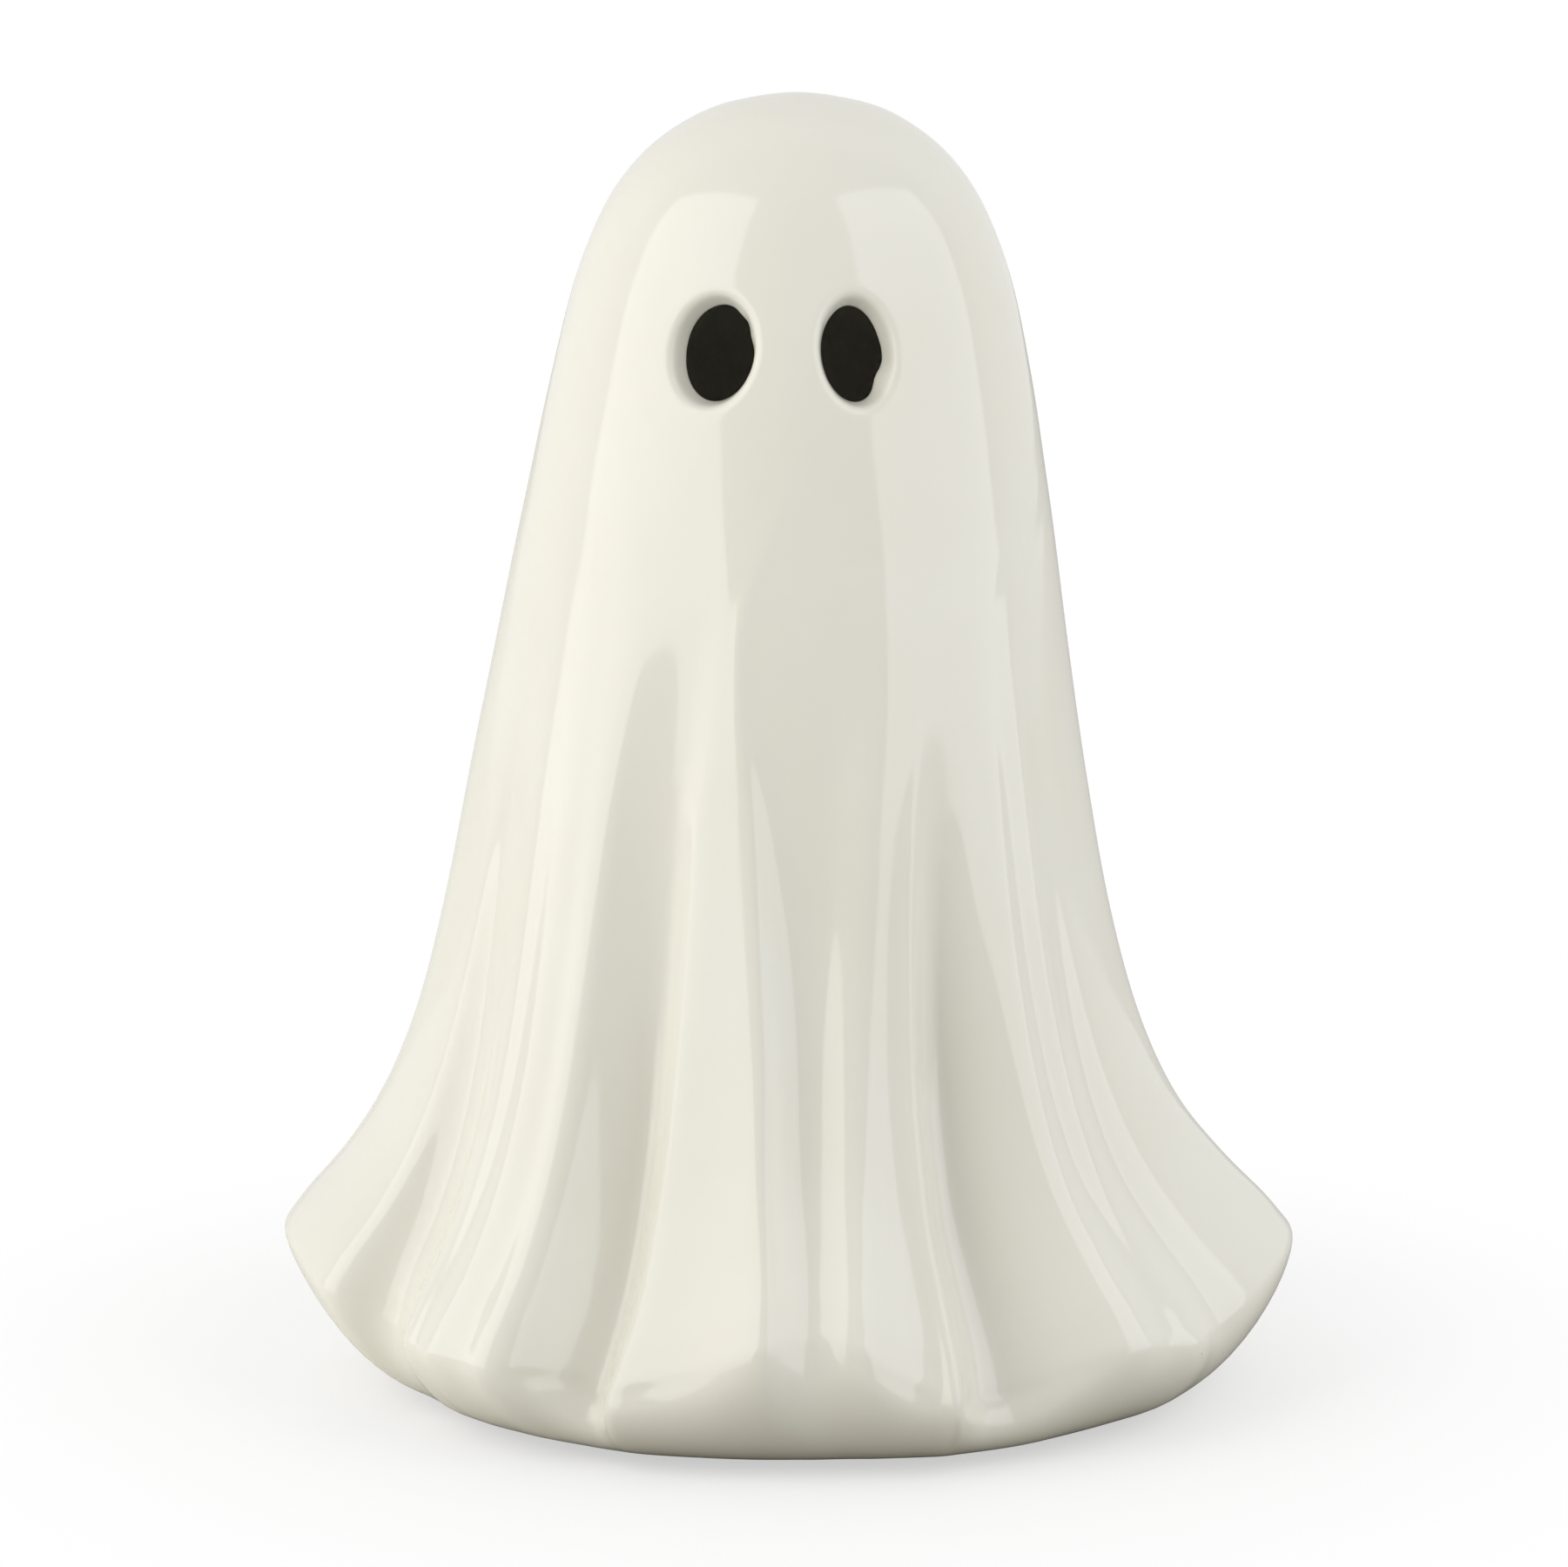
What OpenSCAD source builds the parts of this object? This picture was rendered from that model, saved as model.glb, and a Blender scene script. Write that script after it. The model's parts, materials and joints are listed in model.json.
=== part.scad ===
// A hollow slip-cast ceramic ghost, glazed off-white, with two eyes cut through its wall.
// A battery light plugs into the hole in its base and shines out through the eyes.
// The front is -Y, the table is at Z = 0, and angles round the ghost start straight ahead.

/* [Ghost] */
// Height of the ghost from the table to the top of its head
height = 190; // [170:1:215]
// Half the width of the skirt, at its two side tips
hem_r = 75; // [69:0.5:82]
// Depth of the figure from front to back, as a share of its width
depth_share = 0.92; // [0.88:0.01:1]
// Thickness of the cast wall
wall = 4; // [3:0.1:4.6]
// How much of each fold shows on the inside of the casting
inner_fold_share = 0.6; // [0.3:0.05:0.8]

/* [Eyes] */
// How far the middle of the eyes lies below the top of the head
eye_drop = 33; // [30:0.5:40]
// Angle round the ghost of the eye on the viewer's left
left_eye_angle = -19.5; // [-22:0.5:-14]
// Angle round the ghost of the eye on the viewer's right
right_eye_angle = 16; // [12.5:0.5:22]
// Width of an eye at the inside of the wall
eye_w = 9.4; // [7:0.1:11]
// Height of an eye at the inside of the wall
eye_h = 13.4; // [11:0.1:17]
// How much an eye widens on each side, from the inside of the wall to its face
eye_taper = 0.8; // [0.2:0.1:1.2]
// Size of the sponged, rounded edge round each eye
eye_round = 1.2; // [0.5:0.1:1.5]
// Lean of each eye, its top towards the nose
eye_lean = 5; // [0:1:12]

/* [Base] */
// Half the width of the flat foot
foot_r = 54.5; // [52:0.5:57]
// How far the foot sits to the viewer's right of the axis
foot_shift = 1.4; // [-1:0.1:1.5]
// Thickness of the cast floor
floor_t = 4.5; // [3.5:0.1:5.5]
// Depth of the recess under the floor, inside the foot ring
recess_depth = 5; // [4.8:0.1:6]
// Radius of the recess under the floor
recess_r = 38; // [34:0.5:40]
// Radius of the hole in the floor
hole_r = 23; // [22.6:0.1:25]
// Height over which the wall turns in to the floor, inside
floor_turn = 3; // [2:0.5:5]

/* [Foot pads] */
// Number of felt pads under the foot ring
pad_count = 4; // [3:1:6]
// Radius of a pad
pad_r = 3.5; // [2.5:0.1:4]
// Thickness of a pad
pad_t = 1; // [0.8:0.1:1.4]

/* [Grommet] */
// Thickness of the rubber sleeve that lines the hole
sleeve_t = 1.7; // [1.2:0.1:1.9]
// Thickness of each of its two lips
lip_t = 1; // [0.8:0.1:1.2]
// How far the lip under the floor reaches past the hole
lower_lip = 2.5; // [1.5:0.1:4]
// How far the lip on top of the floor reaches past the hole
upper_lip = 1.2; // [0.6:0.1:2]

/* [Light housing] */
// Thickness of the moulded flange and bottom plate
flange_t = 2.6; // [2.5:0.1:2.8]
// Height of the cup from the bottom of its flange to its rim
cup_h = 21; // [19:0.5:26]
// Thickness of the cup's wall
cup_wall = 1.6; // [1.2:0.1:1.8]
// Width of the ledge that the circuit board sits on
ledge_w = 1.3; // [1:0.1:1.6]
// Thickness of the wall round the battery pocket
pocket_wall = 1.4; // [1:0.1:1.6]
// How far the battery sits from the axis
cell_offset = 7; // [6.6:0.1:7]
// How far the switch sits from the axis, on the other side
switch_offset = 11.5; // [11:0.1:12]

/* [Battery and door] */
// Radius of the coin cell
cell_r = 10; // [9.6:0.1:10]
// Thickness of the coin cell
cell_t = 3.2; // [2.8:0.1:3.6]
// Room over the cell for its spring contacts
contact_room = 1.6; // [1.4:0.1:2]
// Thickness of the battery door
door_t = 1.8; // [1.6:0.1:2]
// How far the door overlaps the pocket, all round
door_lap = 1.6; // [1.2:0.1:2]
// Distance from the cell's middle to the door screw
screw_reach = 12.8; // [12.6:0.1:13]
// Radius of the door's lug round the screw
lug_r = 3.2; // [2.8:0.1:3.4]
// Radius of the screw's shank
screw_r = 0.85; // [0.8:0.05:0.9]
// Length of the screw's shank
screw_length = 4.4; // [3.5:0.1:4.6]
// Radius of the screw's head
screw_head_r = 1.8; // [1.6:0.1:1.9]
// Thickness of the screw's head
screw_head_t = 0.9; // [0.7:0.1:1]

/* [Electrics] */
// Thickness of the circuit board
board_t = 1; // [0.8:0.1:1.6]
// Radius of the light-emitting diode
led_r = 2.5; // [1.5:0.1:2.5]
// Height of the diode above the board
led_h = 8.6; // [5:0.1:9]
// Length of the slide switch
switch_l = 8.6; // [7:0.1:9]
// Width of the slide switch
switch_w = 3.6; // [3.2:0.1:4]
// Height of the slide switch under the board
switch_h = 3.4; // [3.2:0.1:3.4]
// Travel of the switch knob
knob_travel = 2; // [1.5:0.1:2.2]
// Length of the knob along its travel
knob_l = 1.8; // [1.4:0.1:2]
// Width of the knob
knob_w = 1.6; // [1.2:0.1:1.8]
// How far the knob stands below the flange
knob_proud = 0.8; // [0.4:0.1:0.9]
// Thickness of the brass contact strip
strip_t = 0.3; // [0.2:0.05:0.3]
// Width of the brass contact strip
strip_w = 4; // [3:0.1:5]

/* [Light cap] */
// Thickness of the frosted cap
cap_t = 1.4; // [1:0.1:1.6]
// Radius of the cap's dome
dome_r = 14; // [11:0.5:16]
// Height of the straight part under the dome
dome_neck = 5; // [3:0.5:9]

/* [Hidden] */
$fn = 96;

// Clearance of a close fit, and of a loose one
fit_gap = 0.05;
loose_gap = 0.15;
// How far every cut runs past the face that it leaves
overrun = 1;

// The wall from the top of the head down to the hem. Each row gives the height as a share of
// the way from the hem to the top, the radius of the ridges and of the valleys as shares of
// hem_r, how far the folds have formed by there, and the lean as a share of hem_r.
wall_shares = [
    [1.000, 0.000, 0.000, 0.00,  0.008],
    [0.991, 0.132, 0.132, 0.00,  0.008],
    [0.963, 0.256, 0.256, 0.00,  0.006],
    [0.920, 0.344, 0.344, 0.00,  0.004],
    [0.850, 0.414, 0.414, 0.00,  0.002],
    [0.760, 0.463, 0.463, 0.00, -0.002],
    [0.650, 0.510, 0.506, 0.00, -0.010],
    [0.530, 0.556, 0.532, 0.10, -0.020],
    [0.410, 0.604, 0.543, 0.60, -0.028],
    [0.300, 0.651, 0.553, 0.85, -0.030],
    [0.200, 0.710, 0.576, 1.00, -0.028],
    [0.125, 0.783, 0.615, 1.00, -0.024],
    [0.070, 0.872, 0.672, 1.00, -0.014],
    [0.025, 0.965, 0.732, 1.00, -0.007],
    [0.000, 1.000, 0.760, 1.00, -0.005]
];

// The fold lines round the ghost. Each row gives the line's angle at the hem, halfway up the folds
// and on the body, its hem height as a share of the ghost's height, and how far it sinks from the
// ridge outline to the valley outline, as a share, on the body and at the hem.
fold_shares = [
    [-175, -175, -175, 0.076, 0.90, 0.92],
    [-170, -170, -170, 0.070, 0.60, 0.62],
    [-166, -166, -166, 0.062, 0.32, 0.30],
    [-149, -149, -149, 0.070, 0.32, 0.30],
    [-145, -145, -145, 0.074, 0.62, 0.62],
    [-140, -140, -140, 0.080, 0.95, 0.95],
    [-133, -133, -133, 0.084, 0.92, 0.90],
    [-123, -123, -123, 0.082, 0.18, 0.17],
    [-113, -113, -113, 0.092, 0.14, 0.14],
    [-104, -104, -104, 0.104, 0.30, 0.28],
    [-88, -88, -88, 0.117, 0.00, 0.00],
    [-80, -80, -79, 0.117, 0.02, 0.02],
    [-75, -76, -73, 0.113, 0.04, 0.07],
    [-70.5, -72, -69, 0.107, 0.10, 0.48],
    [-66, -68, -65, 0.100, 0.15, 0.68],
    [-61.5, -63, -60, 0.092, 0.16, 0.52],
    [-57, -59, -56, 0.087, 0.05, 0.13],
    [-52.6, -54.8, -51.6, 0.082, 0.08, 0.16],
    [-51, -53.4, -50, 0.080, 0.16, 0.25],
    [-49.6, -52, -48.6, 0.080, 0.10, 0.16],
    [-46, -46, -46, 0.079, 0.05, 0.13],
    [-43.8, -42.4, -43.4, 0.079, 0.10, 0.15],
    [-42.5, -41, -42, 0.078, 0.18, 0.26],
    [-41, -39.6, -40.4, 0.078, 0.10, 0.18],
    [-38, -36.6, -36, 0.079, 0.14, 0.20],
    [-35.5, -34, -31, 0.072, 0.50, 0.52],
    [-33.5, -31.5, -27.8, 0.063, 0.82, 0.86],
    [-30, -26.6, -23.6, 0.057, 1.00, 0.98],
    [-27, -22, -19.6, 0.056, 0.96, 0.94],
    [-25, -19.4, -17.4, 0.059, 0.68, 0.72],
    [-23, -17.2, -15.2, 0.064, 0.44, 0.50],
    [-19, -14.2, -14, 0.069, 0.38, 0.48],
    [-13, -9.5, -12.6, 0.079, 0.32, 0.44],
    [-7, -5, -11.4, 0.094, 0.24, 0.33],
    [-2.6, -1.8, -9.8, 0.107, 0.20, 0.28],
    [-0.8, 0.4, -7, 0.108, 0.86, 0.58],
    [2, 3.5, 2, 0.103, 0.96, 0.64],
    [4.8, 7, 12, 0.108, 0.86, 0.58],
    [6.4, 8.8, 16, 0.109, 0.28, 0.34],
    [10, 12.5, 19, 0.092, 0.24, 0.40],
    [14, 17, 23, 0.075, 0.24, 0.42],
    [17.8, 21.2, 28, 0.064, 0.22, 0.36],
    [20, 23.6, 31, 0.061, 0.20, 0.25],
    [22.2, 26, 32.2, 0.059, 0.20, 0.58],
    [24.8, 28.6, 33.4, 0.055, 0.16, 0.90],
    [28.4, 32, 34.4, 0.053, 0.15, 0.96],
    [32.4, 35.4, 35.6, 0.056, 0.16, 0.86],
    [36, 38.4, 36.8, 0.068, 0.17, 0.50],
    [39.5, 42, 39.5, 0.080, 0.18, 0.18],
    [45, 46, 43.5, 0.085, 0.14, 0.15],
    [49.5, 49, 47.5, 0.083, 0.20, 0.22],
    [52, 50.6, 49.4, 0.078, 0.34, 0.34],
    [54, 52.2, 51.4, 0.075, 0.24, 0.24],
    [57, 55, 55.5, 0.072, 0.12, 0.15],
    [60, 58, 59, 0.076, 0.15, 0.28],
    [64.5, 63, 63, 0.087, 0.09, 0.20],
    [80, 80, 79, 0.111, 0.01, 0.03],
    [86, 86, 86, 0.110, 0.00, 0.00],
    [103, 103, 103, 0.100, 0.30, 0.28],
    [113, 113, 113, 0.088, 0.16, 0.14],
    [123, 123, 123, 0.080, 0.16, 0.17],
    [134, 134, 134, 0.074, 0.95, 0.92],
    [141, 141, 141, 0.072, 0.95, 0.95],
    [146, 146, 146, 0.068, 0.62, 0.62],
    [150, 150, 150, 0.062, 0.32, 0.30],
    [167, 167, 167, 0.070, 0.32, 0.31],
    [172, 172, 172, 0.074, 0.66, 0.64],
    [178, 178, 178, 0.078, 0.90, 0.92]
];

// Hem height at the side tips, as a share of the ghost's height. Elsewhere the wall is stretched
// down to the hem of its own fold line, and the stretch dies out towards the head.
side_hem_share = 0.114;
stretch_power = 3;
// How late the lines turn from halfway up to their angles at the hem
flare_power = 6;

// Where the wall under the hem bends: the first as a share of the hem's height above the foot,
// the second as a share of the way from the foot out to the hem
under_drop_share = 0.3;
under_reach_share = 0.52;
// How much of the folds' depth the same bend takes away
under_even_share = 0.25;
full_turn = 360;
line_steps = 2;
wall_steps = 2;
under_steps = 6;
inner_under_steps = 3;
slope_step = 0.1;
eye_points = 32;

// Heights of the base, from the table up
foot_z = pad_t;
floor_z = foot_z + recess_depth;
floor_top = floor_z + floor_t;
floor_edge_r = foot_r - wall;

// Radii of the fits in the hole, from the floor inwards
grommet_outer_r = hole_r - fit_gap;
grommet_inner_r = grommet_outer_r - sleeve_t;
cup_r = grommet_inner_r - fit_gap;
cup_bore_r = cup_r - cup_wall;
ledge_r = cup_bore_r - ledge_w;
flange_r = hole_r + lower_lip;

// Heights inside the light unit, from its bottom up
base_z = floor_z - lip_t - flange_t;
plate_top = base_z + flange_t;
door_top = base_z + door_t;
cell_top = door_top + cell_t;
board_z = cell_top + contact_room;
board_top = board_z + board_t;
rim_z = base_z + cup_h;

// The battery pocket, its door and its screw
cell_x = -cell_offset;
pocket_r = cell_r + 2 * loose_gap;
pocket_outer_r = pocket_r + pocket_wall;
door_r = cell_r + door_lap;
screw_seat_z = base_z + screw_head_t;
screw_hole_r = screw_r + fit_gap;
boss_r = 2 * screw_r + 2 * loose_gap;
boss_top = screw_seat_z + screw_length + strip_t;

// The brass strips: how much room each takes beside the cell
strip_x = cell_x + cell_r + fit_gap;
strip_foot = 3 * strip_t;
notch_z = door_top + 2 * strip_t;

// The frosted dome
dome_z = rim_z + cap_t + dome_neck;
dome_steps = 9;

// The point a given share of the way from a to b
function mix(a, b, share) = a + (b - a) * share;

// The slope of a smooth curve at b, which is level wherever b is a peak or a dip
function slope_at(a, b, c) = (b - a) * (c - b) <= 0 ? 0 : 2 * (b - a) * (c - b) / (c - a);

// A smooth curve from b to c that takes its direction from the values on both sides
function smooth(a, b, c, d, u) =
    b * (1 + 2 * u) * (1 - u) ^ 2 + slope_at(a, b, c) * u * (1 - u) ^ 2
    + c * (3 - 2 * u) * u ^ 2 - slope_at(b, c, d) * (1 - u) * u ^ 2;
function smooth_row(a, b, c, d, u) = [for (k = [0 : len(b) - 1]) smooth(a[k], b[k], c[k], d[k], u)];

// The wall's row at place t, which counts from the top of the head. The guard rows mirror the
// wall at the top, where it runs over to the other side, and at the hem, where it turns under.
wall_top = wall_shares[1];
wall_end = wall_shares[len(wall_shares) - 1];
wall_last = wall_shares[len(wall_shares) - 2];
wall_rows = concat(
    [[wall_top[0], -wall_top[1], -wall_top[2], wall_top[3], wall_top[4]]],
    wall_shares,
    [[2 * wall_end[0] - wall_last[0], wall_last[1], wall_last[2], wall_last[3], wall_last[4]]]
);
wall_count = len(wall_shares) - 1;
function wall_row(t) =
    let (i = min(floor(t), wall_count - 1))
    smooth_row(wall_rows[i], wall_rows[i + 1], wall_rows[i + 2], wall_rows[i + 3], t - i);

// The fold line at place t, which counts once round the ghost
fold_count = len(fold_shares);
function fold_turned(i) =
    let (turns = floor(i / fold_count), line = fold_shares[i - turns * fold_count])
    line + [full_turn * turns, full_turn * turns, full_turn * turns, 0, 0, 0];
function fold_line(t) =
    let (i = floor(t))
    smooth_row(fold_turned(i - 1), fold_turned(i), fold_turned(i + 1), fold_turned(i + 2), t - i);

// Radius and height of the wall on one fold line, and the point itself
function wall_radius(line, row) = hem_r * mix(row[1], row[2], mix(line[4], line[5], row[3]));
function wall_angle(line, row) = mix(mix(line[2], line[1], row[3]), line[0], (1 - row[0]) ^ flare_power);
function round_point(angle, r, shift, z) = [r * sin(angle) + shift, -depth_share * r * cos(angle), z];
function wall_z(line, row) =
    height * (mix(side_hem_share, 1, row[0]) + (line[3] - side_hem_share) * (1 - row[0]) ^ stretch_power);
function outer_point(line, row) =
    round_point(wall_angle(line, row), wall_radius(line, row), hem_r * row[4], wall_z(line, row));

// The wall under the hem, which bulges as it turns in to the foot
function bend(a, b, c, d, u) = a * (1 - u) ^ 3 + 3 * b * u * (1 - u) ^ 2 + 3 * c * (1 - u) * u ^ 2 + d * u ^ 3;
function under_point(line, u) =
    let (hem = wall_radius(line, wall_end), hem_z = line[3] * height)
    round_point(line[0],
        bend(hem, mix(hem, hem_r, under_even_share), mix(foot_r, hem_r, under_reach_share), foot_r, u),
        mix(hem_r * wall_end[4], foot_shift, u),
        bend(hem_z, mix(hem_z, foot_z, under_drop_share), foot_z, foot_z, u));

// The inside of the casting lies one wall thickness in, and its folds are shallower
function inner_line(line) = [line[0], line[1], line[2], max(line[3], (floor_top + floor_turn) / height),
    1 - inner_fold_share * (1 - line[4]), 1 - inner_fold_share * (1 - line[5])];
function meridian(line, t) =
    let (row = wall_row(t))
    [wall_radius(line, row), wall_z(line, row)];
function inner_point(line, t) =
    let (
        row = wall_row(t),
        along = meridian(line, min(t + slope_step, wall_count)) - meridian(line, t - slope_step),
        inward = [along[1], -along[0]] / norm(along),
        place = meridian(line, t) + wall * inward
    )
    round_point(wall_angle(line, row), place[0], hem_r * row[4], place[1]);
function inner_under_point(line, u) =
    let (hem = wall_radius(line, wall_end) - wall, edge = min(hem, floor_edge_r))
    round_point(line[0], mix(hem, edge, u ^ 2), mix(hem_r * wall_end[4], foot_shift, u),
        mix(line[3] * height, floor_top, 1 - (1 - u) ^ 2));

// Triangles over a stack of rings, each of count points, with a point at each end
function stack_faces(count, rings) =
    let (bottom = 1 + count * rings)
    concat(
        [for (i = [0 : count - 1]) [0, 1 + (i + 1) % count, 1 + i]],
        [for (j = [0 : rings - 2], i = [0 : count - 1])
            [1 + j * count + i, 1 + j * count + (i + 1) % count, 1 + (j + 1) * count + (i + 1) % count]],
        [for (j = [0 : rings - 2], i = [0 : count - 1])
            [1 + j * count + i, 1 + (j + 1) * count + (i + 1) % count, 1 + (j + 1) * count + i]],
        [for (i = [0 : count - 1])
            [bottom, bottom - count + i, bottom - count + (i + 1) % count]]
    );
module stack(top, rings, bottom) {
    count = len(rings[0]);
    points = concat([top], [for (ring = rings, point = ring) point], [bottom]);
    polyhedron(points, stack_faces(count, len(rings)));
}

module outer_form() {
    lines = [for (k = [0 : fold_count * line_steps - 1]) fold_line(k / line_steps)];
    rows = [for (k = [1 : wall_count * wall_steps]) wall_row(k / wall_steps)];
    wall_rings = [for (row = rows) [for (line = lines) outer_point(line, row)]];
    under_rings = [for (k = [1 : under_steps]) [for (line = lines) under_point(line, k / under_steps)]];
    stack([hem_r * wall_shares[0][4], 0, height], concat(wall_rings, under_rings), [foot_shift, 0, foot_z]);
}

module inner_form() {
    lines = [for (line = fold_shares) inner_line(line)];
    wall_rings = [for (t = [1 : wall_count]) [for (line = lines) inner_point(line, t)]];
    under_rings = [for (k = [1 : inner_under_steps])
        [for (line = lines) inner_under_point(line, k / inner_under_steps)]];
    stack([hem_r * wall_shares[0][4], 0, height - wall], concat(wall_rings, under_rings),
        [foot_shift, 0, floor_top]);
}

// The radius of the smooth head at a given height, where it has no folds
function head_radius(z) =
    hem_r * lookup(z, [for (row = wall_shares) [height * mix(side_hem_share, 1, row[0]), row[1]]]);

// One eye's cutter: an oval that widens through the wall and rounds over at its face, and
// stands square to the head
module eye_cutter(angle) {
    eye_z = height - eye_drop;
    r = head_radius(eye_z);
    tilt = atan((head_radius(eye_z - eye_h / 2) - head_radius(eye_z + eye_h / 2)) / eye_h);
    // Each ring: distance out from the face, and how far it has widened from the inside
    rings = [
        [overrun, eye_taper + eye_round + overrun],
        [0, eye_taper + eye_round],
        [-eye_round / 3, eye_taper + eye_round / 3],
        [-eye_round, eye_taper],
        [-wall, 0],
        [-2 * wall, 0]
    ];
    translate(round_point(angle, r, hem_r * wall_shares[4][4], eye_z))
        rotate([0, 0, angle])
            rotate([90 - tilt, 0, 0])
                rotate([0, 0, angle < 0 ? -eye_lean : eye_lean])
                    stack([0, 0, overrun],
                        [for (ring = rings) [for (k = [0 : eye_points - 1])
                            let (a = full_turn * k / eye_points)
                            [(eye_w / 2 + ring[1]) * cos(a), (eye_h / 2 + ring[1]) * sin(a), ring[0]]]],
                        [0, 0, -2 * wall]);
}

module ghost_shell() {
    color([0.91, 0.91, 0.87])
        difference() {
            outer_form();
            inner_form();
            eye_cutter(left_eye_angle);
            eye_cutter(right_eye_angle);
            cylinder(r = recess_r, h = floor_z);
            cylinder(r = hole_r, h = floor_top + overrun);
        }
}

module foot_pads() {
    ring_r = (recess_r + foot_r * depth_share) / 2;
    color([0.72, 0.71, 0.68])
        for (k = [0 : pad_count - 1])
            rotate([0, 0, full_turn * (k + 0.5) / pad_count])
                translate([ring_r, 0, 0])
                    cylinder(r = pad_r, h = pad_t);
}

module base_grommet() {
    color([0.16, 0.16, 0.17])
        rotate_extrude()
            polygon([
                [grommet_inner_r, floor_z - lip_t],
                [hole_r + lower_lip, floor_z - lip_t],
                [hole_r + lower_lip, floor_z],
                [grommet_outer_r, floor_z],
                [grommet_outer_r, floor_top],
                [hole_r + upper_lip, floor_top],
                [grommet_outer_r, floor_top + lip_t],
                [grommet_inner_r, floor_top + lip_t]
            ]);
}

// Where the battery, its door and its screw stand
module at_cell() {
    translate([cell_x, 0, 0])
        children();
}
module at_screw() {
    translate([cell_x, screw_reach, 0])
        children();
}

// Outline of the door, or of its seat when it is drawn larger
module door_outline(grow) {
    circle(r = door_r + grow);
    translate([0, screw_reach])
        circle(r = lug_r + grow);
    translate([-lug_r - grow, 0])
        square([2 * (lug_r + grow), screw_reach]);
}

module light_housing() {
    color([0.88, 0.88, 0.86])
        difference() {
            union() {
                rotate_extrude()
                    polygon([
                        [0, base_z],
                        [flange_r, base_z],
                        [flange_r, plate_top],
                        [cup_r, plate_top],
                        [cup_r, rim_z],
                        [cup_bore_r, rim_z],
                        [cup_bore_r, board_z],
                        [ledge_r, board_z],
                        [ledge_r, plate_top],
                        [0, plate_top]
                    ]);
                at_cell()
                    translate([0, 0, base_z])
                        cylinder(r = pocket_outer_r, h = board_z - loose_gap - base_z);
                at_screw()
                    translate([0, 0, base_z])
                        cylinder(r = boss_r, h = boss_top - base_z);
            }
            at_cell()
                translate([0, 0, base_z - overrun])
                    cylinder(r = pocket_r, h = board_z + overrun - base_z);
            at_cell()
                translate([0, 0, base_z - overrun])
                    linear_extrude(door_t + overrun)
                        door_outline(loose_gap);
            at_screw()
                translate([0, 0, base_z - overrun])
                    cylinder(r = screw_hole_r, h = boss_top + 2 * overrun - base_z);
            translate([cell_x + cell_r - strip_t, -strip_w / 2 - loose_gap, notch_z])
                cube([pocket_outer_r + overrun + strip_t - cell_r, strip_w + 2 * loose_gap, board_z - notch_z]);
            translate([switch_offset - knob_w / 2 - loose_gap, -(knob_l + knob_travel) / 2 - loose_gap,
                base_z - overrun])
                cube([knob_w + 2 * loose_gap, knob_l + knob_travel + 2 * loose_gap, flange_t + 2 * overrun]);
        }
}

module light_cap() {
    skirt_r = cup_bore_r - fit_gap;
    color([0.97, 0.95, 0.88])
        rotate_extrude()
            polygon(concat(
                [[skirt_r, board_top], [skirt_r, rim_z], [cup_r, rim_z], [cup_r, rim_z + cap_t]],
                [for (k = [0 : dome_steps - 1])
                    let (a = 90 * k / dome_steps)
                    [dome_r * cos(a), dome_z + dome_r * sin(a)]],
                [[0, dome_z + dome_r], [0, dome_z + dome_r - cap_t]],
                [for (k = [1 : dome_steps])
                    let (a = 90 - 90 * k / dome_steps)
                    [(dome_r - cap_t) * cos(a), dome_z + (dome_r - cap_t) * sin(a)]],
                [[dome_r - cap_t, rim_z], [skirt_r - cap_t, rim_z], [skirt_r - cap_t, board_top]]
            ));
}

// Its flat rim, its round body and its two wire legs, clipped flush under the board
module led() {
    rim_t = led_r / 2;
    leg_r = led_r / 8;
    color([0.98, 0.97, 0.9]) {
        translate([0, 0, board_top])
            cylinder(r = led_r + leg_r, h = rim_t);
        translate([0, 0, board_top])
            cylinder(r = led_r, h = led_h - led_r);
        translate([0, 0, board_top + led_h - led_r])
            sphere(r = led_r);
        for (side = [-1, 1])
            translate([side * led_r / 2, 0, board_z])
                cylinder(r = leg_r, h = board_t + rim_t);
    }
}

module circuit_board() {
    color([0.1, 0.35, 0.2])
        translate([0, 0, board_z])
            difference() {
                cylinder(r = cup_bore_r - loose_gap, h = board_t);
                for (side = [-1, 1])
                    translate([side * led_r / 2, 0, -overrun])
                        cylinder(r = led_r / 8 + fit_gap, h = board_t + 2 * overrun);
            }
}

module switch_body() {
    color([0.12, 0.12, 0.13])
        difference() {
            translate([switch_offset - switch_w / 2, -switch_l / 2, board_z - switch_h])
                cube([switch_w, switch_l, switch_h]);
            translate([switch_offset - knob_w / 2 - fit_gap, -(knob_l + knob_travel) / 2 - fit_gap,
                board_z - switch_h - overrun])
                cube([knob_w + 2 * fit_gap, knob_l + knob_travel + 2 * fit_gap, switch_h / 2 + overrun]);
        }
}

// Drawn in the off position, at the -Y end of its slot
module switch_knob() {
    color([0.85, 0.85, 0.83])
        translate([switch_offset - knob_w / 2, -(knob_l + knob_travel) / 2, base_z - knob_proud])
            cube([knob_w, knob_l, board_z - switch_h / 2 - base_z + knob_proud]);
}

// A strip down the side of the cell, with its foot soldered under the board
module contact_positive() {
    color([0.8, 0.65, 0.35])
        translate([strip_x, strip_w / 2, 0])
            rotate([90, 0, 0])
                linear_extrude(strip_w)
                    polygon([
                        [0, notch_z + strip_t],
                        [strip_t, notch_z + strip_t],
                        [strip_t, board_z - strip_t],
                        [strip_t + strip_foot, board_z - strip_t],
                        [strip_t + strip_foot, board_z],
                        [0, board_z]
                    ]);
}

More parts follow.
